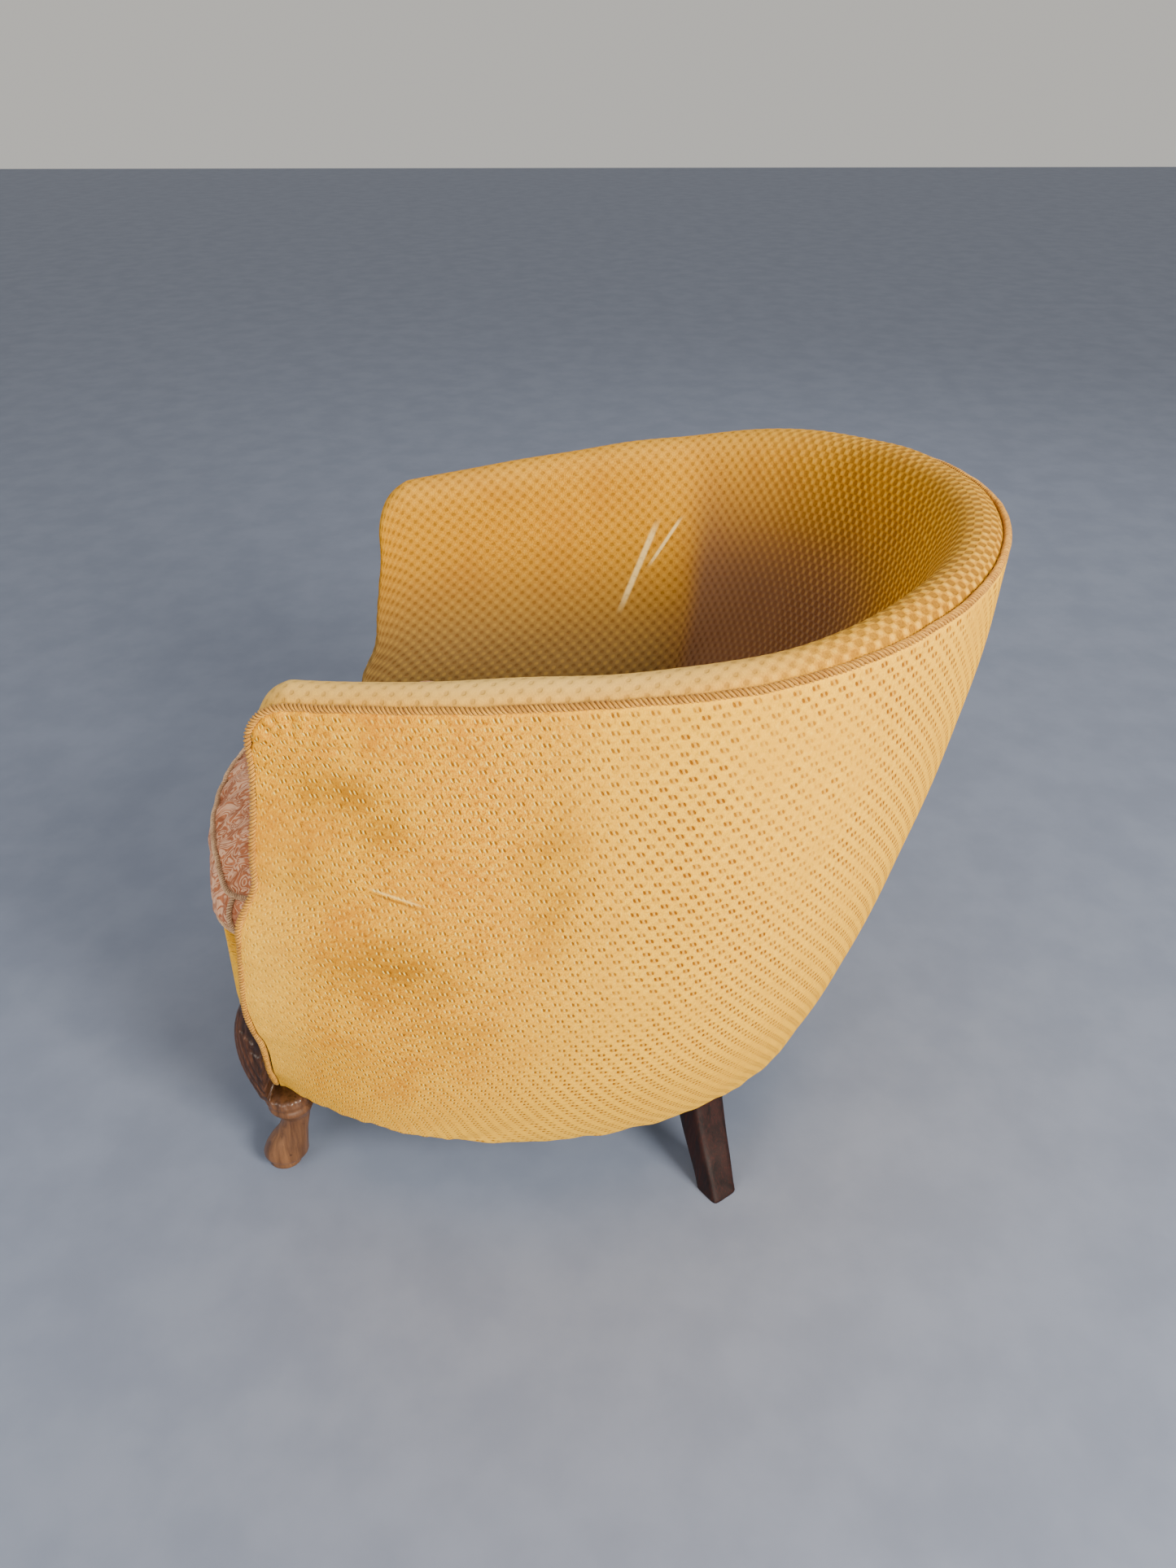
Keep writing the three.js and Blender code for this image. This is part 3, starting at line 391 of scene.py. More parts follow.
class Surface:
    """A procedural material in the making, with short ways to add its nodes."""

    def __init__(self, name, roughness, specular=0.5, sheen=None, coat=None, metallic=0.0):
        self.material = bpy.data.materials.new(name)
        self.material.use_nodes = True
        self.tree = self.material.node_tree
        self.shader = self.tree.nodes["Principled BSDF"]
        self.fill(self.shader, {"Roughness": roughness, "Metallic": metallic, "Specular IOR Level": specular})
        if sheen:
            self.fill(self.shader, dict(zip(("Sheen Weight", "Sheen Roughness", "Sheen Tint"), sheen)))
        if coat:
            self.fill(self.shader, dict(zip(("Coat Weight", "Coat Roughness"), coat)))

    def put(self, value, socket):
        if isinstance(value, bpy.types.NodeSocket):
            self.tree.links.new(value, socket)
        else:
            socket.default_value = value

    def fill(self, node, values):
        for name, value in values.items():
            self.put(value, node.inputs[name])
        return node

    def node(self, kind, *values, **settings):
        made = self.tree.nodes.new(kind)
        for key, value in settings.items():
            setattr(made, key, value)
        for index, value in enumerate(values):
            self.put(value, made.inputs[index])
        return made

    def math(self, operation, *values):
        return self.node("ShaderNodeMath", *values, operation=operation).outputs[0]

    def times(self, product, *factors):
        for factor in factors:
            product = self.math("MULTIPLY", product, factor)
        return product

    def plus(self, a, b):
        return self.math("ADD", a, b)

    def minus(self, a, b):
        return self.math("SUBTRACT", a, b)

    def cloth(self):
        return self.node("ShaderNodeUVMap", uv_map="cloth").outputs[0]

    def place(self):
        return self.node("ShaderNodeTexCoord").outputs["Object"]

    def parts(self, vector):
        return self.node("ShaderNodeSeparateXYZ", vector).outputs

    def attribute(self, name):
        return self.node("ShaderNodeAttribute", attribute_name=name).outputs["Fac"]

    def scaled(self, vector, x, y, z=1.0):
        return self.node("ShaderNodeVectorMath", vector, (x, y, z), operation="MULTIPLY").outputs[0]

    def noise(self, vector, scale, detail=2.0, roughness=0.5, distortion=0.0):
        values = {"Vector": vector, "Scale": scale, "Detail": detail, "Roughness": roughness,
                  "Distortion": distortion}
        return self.fill(self.node("ShaderNodeTexNoise"), values).outputs["Fac"]

    def step(self, value, low, high, to_low=0.0, to_high=1.0):
        values = {"Value": value, "From Min": low, "From Max": high, "To Min": to_low, "To Max": to_high}
        made = self.node("ShaderNodeMapRange", interpolation_type="SMOOTHSTEP")
        return self.fill(made, values).outputs["Result"]

    def mix(self, share, a, b):
        made = self.node("ShaderNodeMix", data_type="RGBA")
        self.put(share, made.inputs["Factor"])
        self.put(a, made.inputs[6])
        self.put(b, made.inputs[7])
        return made.outputs[2]

    def layers(self, colour, *layers):
        """Lays further colours over a first one, each as (its share, its colour)."""
        for share, over in layers:
            colour = self.mix(share, colour, over)
        return colour

    def finish(self, colour, height=None, distance=0.001, strength=1.0, roughness=None):
        self.put(colour, self.shader.inputs["Base Color"])
        if roughness is not None:
            self.put(roughness, self.shader.inputs["Roughness"])
        if height is not None:
            bump = self.node("ShaderNodeBump")
            self.fill(bump, {"Strength": strength, "Distance": distance, "Height": height})
            self.put(bump.outputs[0], self.shader.inputs["Normal"])
        return self.material


def velour_lattice(s, cloth):
    """The velour's woven lattice: a mark at each repeat along a row, and a row at each half repeat.
    Returns the place in the nearest cell, in mm, and the lattice's height, 1 at each centre."""
    drift = s.scaled(s.noise(cloth, 60.0, 1.0), 0.0022, 0.0016, 0.0)
    moved = s.node("ShaderNodeVectorMath", cloth, drift, operation="ADD").outputs[0]
    x, y, _ = s.parts(s.scaled(moved, 1 / VELOUR_REPEAT, 1 / VELOUR_REPEAT))
    diagonals = s.plus(x, y), s.minus(x, y)
    cell_a, cell_b = [s.minus(line, s.math("ROUND", line)) for line in diagonals]
    waves = [s.math("COSINE", s.times(line, TURN)) for line in diagonals]
    half_repeat = VELOUR_REPEAT * 500
    across = s.times(s.plus(cell_a, cell_b), half_repeat)
    up = s.times(s.minus(cell_a, cell_b), half_repeat)
    return across, up, s.times(s.plus(*waves), 0.5)


def velour_stroke(s, across, up, apart, half_width, half_height):
    """Two small upright strokes in each cell of the lattice, apart mm each side of its middle."""
    aside = s.math("DIVIDE", s.minus(s.math("ABSOLUTE", across), apart), half_width)
    along = s.math("DIVIDE", up, half_height)
    return s.step(s.plus(s.times(aside, aside), s.times(along, along)), 1.5, 0.25)


def streak(s, along, across, start, end, half_width):
    """A tapering streak from start to end, both (along, across).
    Returns its share and the offset from its line."""
    length = end[0] - start[0]
    ahead = s.minus(along, start[0])
    share = s.math("DIVIDE", ahead, length)
    line = s.plus(s.times(ahead, (end[1] - start[1]) / length), start[1])
    offset = s.math("DIVIDE", s.minus(across, line), half_width)
    taper = s.times(s.step(share, 0.0, 0.25), s.step(share, 1.0, 0.7))
    return s.times(s.step(s.math("ABSOLUTE", offset), 1.0, 0.35), taper), offset


def outer_velour():
    """The outer side's gold velour: pairs of small slanted dashes on a worn, soiled ground."""
    s = Surface("velour_outer", 0.9, 0.06, sheen=VELOUR_SHEEN)
    cloth = s.cloth()
    across, up, _ = velour_lattice(s, cloth)
    leaning = s.minus(across, s.times(up, 0.35))
    dash = velour_stroke(s, leaning, up, 2.2, 1.1, 2.3)
    glint = velour_stroke(s, s.minus(leaning, 1.7), up, 2.2, 0.9, 2.1)
    tuft = velour_stroke(s, across, up, 0.0, 4.6, 3.0)
    crisp, soil, wear = s.attribute("crisp"), s.attribute("soil"), s.attribute("wear")
    pile = s.noise(s.scaled(cloth, 1.0, 0.45), 900.0, 3.0, 0.65)
    soft = s.noise(cloth, 130.0, 3.0, 0.6)
    mottle = s.noise(cloth, 34.0, 4.0, 0.65)
    clumps = s.noise(s.scaled(cloth, 1.0, 0.6), 260.0, 3.0, 0.7)
    broad = s.noise(s.scaled(cloth, 1.0, 0.7), 7.0, 4.0, 0.6)
    stain = s.step(s.noise(s.scaled(cloth, 1.0, 0.7), 7.0, 6.0, 0.68, 0.5), 0.47, 0.72)
    unworn = s.minus(1.0, s.math("MAXIMUM", s.times(stain, 0.75), s.times(wear, 0.8)))
    marked = s.times(s.step(s.noise(cloth, 85.0, 2.0, 0.6), 0.3, 0.62, 0.45, 1.0), unworn)
    shown = s.times(dash, marked)
    lit = s.times(glint, marked, s.minus(1.0, s.times(crisp, 0.75)))
    dirt = s.times(soil, s.step(mottle, 0.3, 0.6, 0.45, 1.0))
    # The crease is only painted: a highlight on one side of its line and shade on the other.
    crease_shading, offset = streak(s, *s.parts(cloth)[:2], CREASE_START, CREASE_END, CREASE_HALF_WIDTH)
    colour = s.layers(
        s.mix(s.step(pile, 0.34, 0.66), rgb(190, 108, 0), rgb(255, 190, 20)),
        (s.step(soft, 0.35, 0.7, 0.0, 0.4), rgb(236, 156, 18)),
        (s.step(broad, 0.35, 0.7, 0.0, 0.4), rgb(255, 188, 24)),
        (s.times(stain, 0.75), rgb(196, 116, 8)),
        (s.step(mottle, 0.44, 0.68, 0.0, 0.4), rgb(206, 132, 14)),
        (s.step(clumps, 0.5, 0.72, 0.0, 0.85), rgb(150, 86, 6)),
        (s.step(clumps, 0.46, 0.28, 0.0, 0.6), rgb(255, 208, 80)),
        (s.times(crisp, 0.5), rgb(255, 198, 44)),
        (s.times(dirt, 0.9), rgb(146, 92, 8)),
        (s.times(wear, 0.42), rgb(255, 206, 78)),
        (s.times(tuft, crisp, marked), rgb(196, 128, 16)),
        (s.times(lit, 0.85), rgb(255, 232, 128)),
        (s.times(shown, 0.9), rgb(132, 74, 6)),
        # Painted highlight on one side of the crease, then painted shade on its other side.
        (s.times(crease_shading, s.step(offset, 0.0, 0.5, 0.0, 0.55)), rgb(255, 226, 140)),
        (s.times(crease_shading, s.step(offset, 0.1, -0.4), 0.8), rgb(150, 92, 16)))
    height = s.plus(s.times(pile, 0.35), s.minus(s.times(lit, 0.5), shown))
    return s.finish(colour, height, distance=0.0009, strength=0.75)


def inner_velour():
    """The inner side's velour: raised lozenges with painted highlights on their tops, and dark marks between
    them.
    """
    s = Surface("velour_inner", 0.9, 0.06, sheen=VELOUR_SHEEN)
    cloth = s.cloth()
    _, _, height = velour_lattice(s, cloth)
    relief, pale, brown = s.attribute("relief"), s.attribute("pale"), s.attribute("brown")
    pile = s.noise(s.scaled(cloth, 1.0, 0.5), 800.0, 3.0, 0.65)
    broad = s.noise(s.scaled(cloth, 1.0, 0.6), 8.0, 4.0, 0.6)
    stain = s.step(s.noise(cloth, 14.0, 3.0, 0.55, 0.5), 0.5, 0.68)
    dots = s.step(height, -0.3, -0.85)
    grooves = s.step(height, 0.25, -0.4)
    marks = s.math("MAXIMUM", s.times(dots, 0.75), s.times(grooves, relief))
    marks = s.times(marks, s.step(broad, 0.25, 0.5, 0.55, 1.0))
    # raised is a painted highlight on the lozenges' tops, weaker where the cloth is brown.
    raised = s.times(s.step(height, 0.3, 0.9), s.plus(relief, 0.3), 0.3, s.minus(1.0, s.times(brown, 0.7)))
    colour = s.layers(
        s.mix(s.step(pile, 0.32, 0.68), rgb(176, 114, 6), rgb(222, 158, 16)),
        (s.step(broad, 0.35, 0.7, 0.0, 0.4), rgb(214, 154, 22)),
        (s.times(stain, 0.3), rgb(182, 118, 22)),
        # Painted shade, darker down the wall.
        (s.times(s.attribute("low"), 0.6), rgb(126, 82, 30)),
        # Painted olive shade low on the far arm.
        (s.times(s.attribute("dusty"), 0.9), rgb(132, 108, 66)),
        (s.times(brown, 0.9), rgb(118, 86, 68)),
        (s.times(pale, s.step(broad, 0.2, 0.6, 0.6, 0.95)), rgb(226, 186, 104)),
        # Painted highlight on the raised lozenges.
        (raised, rgb(255, 206, 84)),
        (s.times(marks, s.minus(0.6, s.times(pale, 0.42))), rgb(100, 56, 14)))
    x, y, z = s.parts(s.place())
    far_wall = s.step(x, -0.15, -0.2)
    for start, end, half_width in SCRATCHES:
        scratch, _ = streak(s, z, y, start, end, half_width)
        colour = s.mix(s.times(scratch, far_wall, 0.75), colour, rgb(255, 226, 150))
    bumps = s.plus(s.times(pile, 0.3), s.times(marks, -0.9))
    return s.finish(colour, bumps, distance=0.0012, strength=0.8)


def crushed_velvet():
    """The cushion's pink-brown brocade velvet: a scrolling pale pattern on a crushed pile."""
    s = Surface("cushion_velvet", 0.75, 0.2, sheen=(0.25, 0.35, (1.0, 0.8, 0.68, 1.0)))
    place = s.place()
    flow = s.noise(place, 34.0, 3.0, 0.55, 1.2)
    leaves = s.noise(s.scaled(place, 1.0, 0.7, 0.7), 46.0, 1.5, 0.5, 1.6)
    pile = s.noise(place, 900.0, 2.0, 0.6)
    crushed = s.noise(place, 190.0, 3.0, 0.6, 0.8)
    veins = s.math("ABSOLUTE", s.math("SINE", s.times(leaves, 26.0)))
    lines = s.times(s.step(veins, 0.5, 0.95), s.step(flow, 0.36, 0.5, 0.25, 1.0))
    colour = s.layers(
        s.mix(s.step(flow, 0.36, 0.62), rgb(146, 80, 48), rgb(186, 114, 76)),
        (s.step(crushed, 0.5, 0.7, 0.0, 0.45), rgb(108, 56, 32)),
        (s.step(pile, 0.3, 0.7, 0.0, 0.3), rgb(196, 124, 84)),
        (s.times(lines, 0.75), rgb(230, 184, 150)))
    return s.finish(colour, s.plus(s.times(crushed, 0.5), s.times(lines, 0.6)), strength=0.7)


def cord_yarn(name, dark, light):
    """Twisted yarn: fine fibres that run along each strand."""
    s = Surface(name, 0.7, 0.3, sheen=(0.3, 0.4, (1.0, 0.85, 0.6, 1.0)))
    cloth = s.cloth()
    fibres = s.noise(s.scaled(cloth, 260.0, 9.0), 1.0, 3.0, 0.6)
    broad = s.noise(s.scaled(cloth, 22.0, 0.0), 1.0)
    # strand falls to -1 in the grooves between strands, where the colour gets painted shade.
    strand = s.math("COSINE", s.times(s.parts(cloth)[1], TURN))
    colour = s.layers(
        s.mix(s.step(fibres, 0.3, 0.7), dark, light),
        (s.step(broad, 0.4, 0.65, 0.0, 0.3), dark),
        (s.step(strand, -0.2, -0.95, 0.0, 0.7), darker(dark, 0.35)))
    return s.finish(colour, fibres, distance=0.0006, strength=0.7)


def wood(name, dark, mid, light, roughness, coat=None, worn=None, foot=None):
    """Polished or raw wood, with grain that runs up the piece. worn is the colour of its rubbed edges."""
    s = Surface(name, roughness, 0.25, coat=coat)
    place = s.place()
    rings = s.noise(s.scaled(place, 14.0, 14.0, 1.6), 6.0, 5.0, 0.6, 0.8)
    pores = s.noise(s.scaled(place, 84.0, 84.0, 4.8), 7.0, 3.0, 0.6)
    specks = s.step(s.noise(place, 160.0), 0.68, 0.78)
    colour = s.layers(
        s.mix(s.step(rings, 0.32, 0.66), dark, mid),
        (s.step(pores, 0.45, 0.75, 0.0, 0.55), light),
        (s.times(specks, 0.55), darker(dark, 0.3)))
    if foot:
        toe = s.mix(s.times(specks, 0.6), s.mix(s.step(rings, 0.3, 0.7), *foot), dark)
        colour = s.layers(
            colour,
            (s.step(s.parts(place)[2], 0.15, 0.05, 0.0, 0.85), toe),
            # hollow darkens the carving's hollows, and holds the painted shadow beside the rim cord.
            (s.times(s.attribute("hollow"), 0.75), darker(dark, 0.5)))
    if worn:
        edges = s.node("ShaderNodeNewGeometry").outputs["Pointiness"]
        rubbed = s.times(s.step(edges, 0.53, 0.6), s.step(s.noise(place, 70.0, 3.0), 0.4, 0.6))
        colour = s.mix(rubbed, colour, worn)
    gloss = s.step(rings, 0.3, 0.7, roughness * 0.85, min(roughness * 1.25, 1.0))
    height = s.plus(rings, s.times(pores, 0.5))
    return s.finish(colour, height, distance=0.0004, strength=0.5, roughness=gloss)


def woven(name, dark, light, pitch):
    """A plain weave, from place alone, for straps, hessian, canvas and the dust cover."""
    s = Surface(name, 0.95, 0.15)
    place = s.place()
    x, y, z = s.parts(s.scaled(place, *[TURN / pitch] * 3))
    weave = s.times(s.math("SINE", s.plus(x, z)), s.math("SINE", s.plus(y, z)))
    hairs = s.noise(place, 300.0, 3.0, 0.6)
    broad = s.noise(place, 14.0, 3.0, 0.6)
    colour = s.layers(
        s.mix(s.step(weave, -0.7, 0.7), dark, light),
        (s.step(hairs, 0.4, 0.75, 0.0, 0.5), light),
        (s.step(broad, 0.4, 0.7, 0.0, 0.4), dark))
    return s.finish(colour, s.plus(weave, hairs), distance=0.0005, strength=0.7)


def spring_steel():
    """Bare spring wire with a little rust."""
    s = Surface("spring_steel", 0.45, metallic=1.0)
    place = s.place()
    scratches = s.noise(s.scaled(place, 30.0, 30.0, 4.0), 20.0, 3.0, 0.6)
    rust = s.step(s.noise(place, 45.0, 4.0, 0.65), 0.55, 0.72)
    colour = s.mix(s.step(scratches, 0.3, 0.7), rgb(96, 98, 102), rgb(150, 152, 156))
    colour = s.mix(s.times(rust, 0.6), colour, rgb(112, 70, 46))
    gloss = s.step(rust, 0.0, 1.0, 0.38, 0.75)
    return s.finish(colour, scratches, distance=0.0002, strength=0.4, roughness=gloss)


def plain_stage():
    """The floor's even pale grey."""
    s = Surface("stage_grey", 0.6, 0.3)
    grain = s.noise(s.place(), 9.0, 4.0, 0.6)
    return s.finish(s.mix(s.step(grain, 0.3, 0.7), rgb(112, 121, 142), rgb(120, 129, 150)))


MATERIALS = {
    "outer": outer_velour(),
    "inner": inner_velour(),
    "velvet": crushed_velvet(),
    "rim_cord": cord_yarn("rim_cord_yarn", rgb(136, 76, 6), rgb(238, 176, 60)),
    "cushion_cord": cord_yarn("cushion_cord_yarn", rgb(140, 96, 64), rgb(240, 204, 164)),
    "walnut": wood("walnut", rgb(36, 18, 9), rgb(82, 47, 28), rgb(118, 74, 46), 0.4, (0.35, 0.2),
                   worn=rgb(150, 98, 60), foot=(rgb(80, 52, 32), rgb(120, 82, 52))),
    "mahogany": wood("mahogany", rgb(14, 4, 2), rgb(34, 9, 5), rgb(60, 20, 12), 0.5, (0.06, 0.25),
                     worn=rgb(132, 74, 48)),
    "beech": wood("beech", rgb(150, 116, 80), rgb(196, 162, 118), rgb(220, 190, 148), 0.7),
    "jute": woven("jute", rgb(128, 98, 58), rgb(186, 154, 104), 0.0042),
    "hessian": woven("hessian", rgb(120, 90, 54), rgb(180, 148, 100), 0.003),
    "canvas": woven("canvas", rgb(150, 128, 92), rgb(206, 184, 146), 0.002),
    "cambric": woven("cambric", rgb(28, 26, 25), rgb(62, 58, 54), 0.0016),
    "steel": spring_steel(),
}


def dress(piece, key, slot, *nodes, body="chair"):
    """Gives a piece its material and body, and hides the CAD nodes that it stands for. Its slot is not used.
    """
    piece.data.materials.clear()
    piece.data.materials.append(MATERIALS[key])
    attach(piece, body)
    if nodes:
        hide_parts(*nodes)


# ---------- Camera, light and stage ----------

CAMERA_PLACE = Vector((1.20484, 0.08170, 1.128))
CAMERA_HEADING = math.radians(183.65)
CAMERA_PITCH = math.radians(31.66075)
CAMERA_ROLL = math.radians(0.45)
CAMERA_LENS = 28.02
FLOOR_REACH = 12.0
# Soft lights: name, place, the height they aim at, size in metres, power in watts, colour.
LIGHTS = [
    ("key", (2.3, 2.2, 2.0), 0.4, 1.4, 228, (1.0, 0.945, 0.82)),
    ("fill", (2.2, -1.8, 1.6), 0.4, 2.0, 48, (1.0, 0.96, 0.88)),
    ("low", (2.5, 0.5, 0.5), 0.2, 1.6, 26, (1.0, 0.96, 0.86)),
    ("rear", (-2.2, 1.0, 2.4), 0.4, 2.0, 20, (1.0, 0.97, 0.9)),
]


def add_camera():
    """A camera near the left side, looking down into the tub."""
    data = bpy.data.cameras.new("camera")
    data.sensor_fit = "VERTICAL"
    data.sensor_height = 36
    data.lens = CAMERA_LENS
    data.clip_start = 0.05
    camera = bpy.data.objects.new("camera", data)
    heading = Matrix.Rotation(CAMERA_HEADING - math.pi / 2, 4, "Z")
    pitch = Matrix.Rotation(math.pi / 2 - CAMERA_PITCH, 4, "X")
    roll = Matrix.Rotation(-CAMERA_ROLL, 4, "Z")
    camera.matrix_world = Matrix.Translation(CAMERA_PLACE) @ heading @ pitch @ roll
    bpy.context.scene.collection.objects.link(camera)
    bpy.context.scene.camera = camera


def add_lights():
    """Four soft lights and a faint even glow from all round."""
    for name, place, aim_z, size, power, colour in LIGHTS:
        data = bpy.data.lights.new(name, "AREA")
        data.shape = "DISK"
        data.size = size
        data.energy = power
        data.color = colour
        light = bpy.data.objects.new(name, data)
        light.location = place
        light.rotation_euler = (Vector((0, 0, aim_z)) - Vector(place)).to_track_quat("-Z", "Y").to_euler()
        bpy.context.scene.collection.objects.link(light)
    world = bpy.data.worlds.new("soft_light")
    world.use_nodes = True
    background = world.node_tree.nodes["Background"]
    background.inputs[0].default_value = (1.0, 0.97, 0.91, 1.0)
    background.inputs[1].default_value = 0.58
    bpy.context.scene.world = world


def add_floor():
    corners = [(x * FLOOR_REACH, y * FLOOR_REACH, 0) for x, y in ((-1, -1), (1, -1), (1, 1), (-1, 1))]
    floor = make_mesh("stage_floor", corners, [[0, 1, 2, 3]])
    floor.data.materials.append(plain_stage())


# ---------- Tub covers ----------

OUTER_COLUMNS, OUTER_ROWS = 460, 150
# The hem's turn, as (depth in from the cover's face, height above the hem).
HEM_TURN = [(0.022, 0.0006), (0.012, 0.0), (0.004, 0.0), (0.001, 0.0009)]
INNER_COLUMNS, ROLL_ROWS, WALL_ROWS, FRONT_STEPS = 560, 44, 104, 18


def corner_tucks(tau, place):
    """Small folds that fan out where the cover turns over the arm's top corner."""
    forward = ARM_FRONT_Y + ARM_CORNER - place[..., 1]
    upward = place[..., 2] - (RIM_FRONT_Z - ARM_CORNER)
    away, angle = np.hypot(forward, upward), np.arctan2(upward, forward)
    tucks = 0.0017 * bell(away, 0.032, 0.02) * np.cos(angle * 13 + 3 * wander(angle, 0 * angle, 1.2, 5))
    return tucks * ramp(angle, -0.5, 0.3) * ramp(tau, 0.84, 0.9)


def outer_cover():
    """The outside cover: one stretched piece from arm to arm, turned under at a puckered hem."""
    u = shell_columns(OUTER_COLUMNS)
    tau = np.abs(u)
    low, top = HEM["z"] + 0.002, rim_z(tau) - 0.0005
    z = low + np.linspace(0, 1, OUTER_ROWS)[:, None] ** 1.12 * (top - low)
    s = along_rim(u) + 0 * z
    above, below_rim, from_edge = z - HEM["z"], top - z, (1 - tau) * 0.97
    hem_pull = np.exp(-above / 0.016)
    edge_pull = np.exp(-from_edge / 0.03) * ramp(below_rim, 0, 0.05) * ramp(tau, 0.86, 1.0)
    outward = (0.0012 * wander(s, z, 0.17, 3) * ramp(below_rim, 0, 0.08)
               + 0.0012 * hem_pull * wander(s, 0 * s, 0.03, 11)
               + 0.0011 * np.exp(-above / 0.07) * wander(s, 0.25 * z, 0.055, 12)
               + 0.0008 * np.exp(-below_rim / 0.02) * wander(s, 0 * s, 0.04, 13)
               + 0.0010 * edge_pull * wander(z, 0 * z, 0.035, 14)
               + corner_tucks(tau, wall_point(u, z, 0.0)))
    points = wall_point(u, z, 0.0026 * ramp(below_rim, 0.005, 0.0) - outward)
    curl = ramp(u, 0.982, 1.0) * ramp(below_rim, 0.0, 0.012)
    points[..., 1] -= 0.0036 * curl
    points[..., 0] -= 0.0012 * curl**2
    hem = np.stack([wall_point(u, HEM["z"] + rise, depth - 0.6 * outward[0]) for depth, rise in HEM_TURN])
    scallop = 0.0009 * hem_pull * wander(s, 0 * s, 0.028, 15)
    points[..., 2] += scallop
    hem[..., 2] += scallop[0]
    points = np.concatenate([hem, points])
    up = arc_lengths(points)
    piece = grid_piece("outer_cover", points, stacked(s[:1], up - up[-1:]))
    height = points[..., 2]
    soil = 0 * height
    for s_middle, z_middle, s_reach, z_reach, strength in SOILED:
        patch = bell(s[:1], s_middle, s_reach) * bell(height, z_middle, z_reach)
        soil = np.maximum(soil, strength * patch)
    add_attributes(piece, height.shape, soil=soil, crisp=1 - ramp(tau, 0.6, 0.8),
                   wear=np.maximum(ramp(tau, 0.9, 0.985) * ramp(height, 0.6, 0.3) * 0.8,
                                   0.5 * np.exp(-(height - HEM["z"]) / 0.06)))
    thicken(piece, COVER_THICKNESS)
    dress(piece, "outer", "velour", "outside_cover")


def inner_profile(tau):
    """The line from under the cord over the roll and down the wall, (rows, columns) of depth and z."""
    rim = rim_z(tau)
    keys = [stacked(share * inner_top(tau), rim + rise) for share, rise in ROLL]
    for share in WALL_SHARES:
        z = lerp(rim - 0.04, TUCK_Z, share)
        keys.append(stacked(inner_depth(tau, z), z))
    turn, last = len(ROLL), len(keys) - 1
    parameter = np.concatenate([np.linspace(0, turn, ROLL_ROWS, endpoint=False),
                                np.linspace(turn, last, WALL_ROWS)])
    return spline(np.array(keys), parameter)


def inner_relief(u):
    """How raised the lozenges are: strong on the back and the near arm, faint on the far arm."""
    return lerp(0.15, 1.0, ramp(u, -0.55, -0.2) * (1 - ramp(u, 0.3, 0.6)))


def inner_cover():
    """The padded inside cover: the roll, the wall down to the seat, and the arms' front faces."""
    u = shell_columns(INNER_COLUMNS)
    profile = inner_profile(np.abs(u))
    depth, z = profile[..., 0], profile[..., 1]
    s = along_rim(u) + 0 * z
    down = arc_lengths(profile)
    firm = ramp(down, 0.0, 0.012)
    lattice = 0.5 * (np.cos(TURN * (s + down) / VELOUR_REPEAT) + np.cos(TURN * (s - down) / VELOUR_REPEAT))
    raised = (0.0016 * wander(s, down, 0.12, 21) * firm
              + 0.0010 * wander(s, 0.15 * down, 0.05, 22) * ramp(down, 0.25, 0.42)
              + 0.00045 * lattice * inner_relief(u) * firm)
    # Over the roll the cloth rises. On the wall it comes forward, which is where depth grows.
    share_up = np.clip(1 - (down - 0.01) / 0.06, 0, 1)
    face = wall_point(u, z + raised * share_up, depth + raised * (1 - share_up))
    left = arm_front(face[:, -1], LEFT)
    right = arm_front(face[:, 0], RIGHT)[:, ::-1]
    points = rounded_front_edges(np.concatenate([right, face, left], axis=1))
    uv = np.concatenate([right[..., [0, 2]], stacked(s, -down), left[..., [0, 2]]], axis=1)
    piece = pillow("inner_cover", points, inner_back(points, u), uv)
    add_inner_attributes(piece, np.pad(u, FRONT_STEPS, "edge"),
                         np.pad(down, ((0, 0), (FRONT_STEPS, FRONT_STEPS)), "edge"), points[..., 2])
    dress(piece, "inner", "velour", "inside_cover", "tub_padding",
          "arm_front_cover_left", "arm_front_cover_right")


def add_inner_attributes(piece, u, down, height):
    """Where the inside cover is pale along the roll, darker low down with painted shade, brown on the far
    side, and olive with painted shade low on the far arm.
    """
    brown = ramp(u, -0.64, -0.54) * (1 - ramp(u, -0.2, 0.12))
    add_attributes(
        piece, down.shape, relief=inner_relief(u),
        pale=bell(down, 0.035, 0.028) * lerp(0.15, 1.0, ramp(u, 0.4, 0.7)),
        # low is painted shade: darker down the wall, most at the back's middle.
        low=ramp(down, 0.13, 0.33) * (0.3 + 0.7 * bell(u, 0, 0.38)),
        brown=brown * (1 - ramp(height, 0.52, 0.73)),
        # Painted olive shade, low on the far arm.
        dusty=(1 - ramp(u, -0.64, -0.52)) * (1 - ramp(height, 0.40, 0.60)))


def rounded_front_edges(points):
    """Rounds the arms' front edges, where the wall turns into the front face."""
    reach = 2 * FRONT_STEPS
    for part in (points[:, :reach], points[:, -reach:]):
        for _ in range(26):
            part[:, 1:-1] = 0.5 * part[:, 1:-1] + 0.25 * (part[:, 2:] + part[:, :-2])
    return points


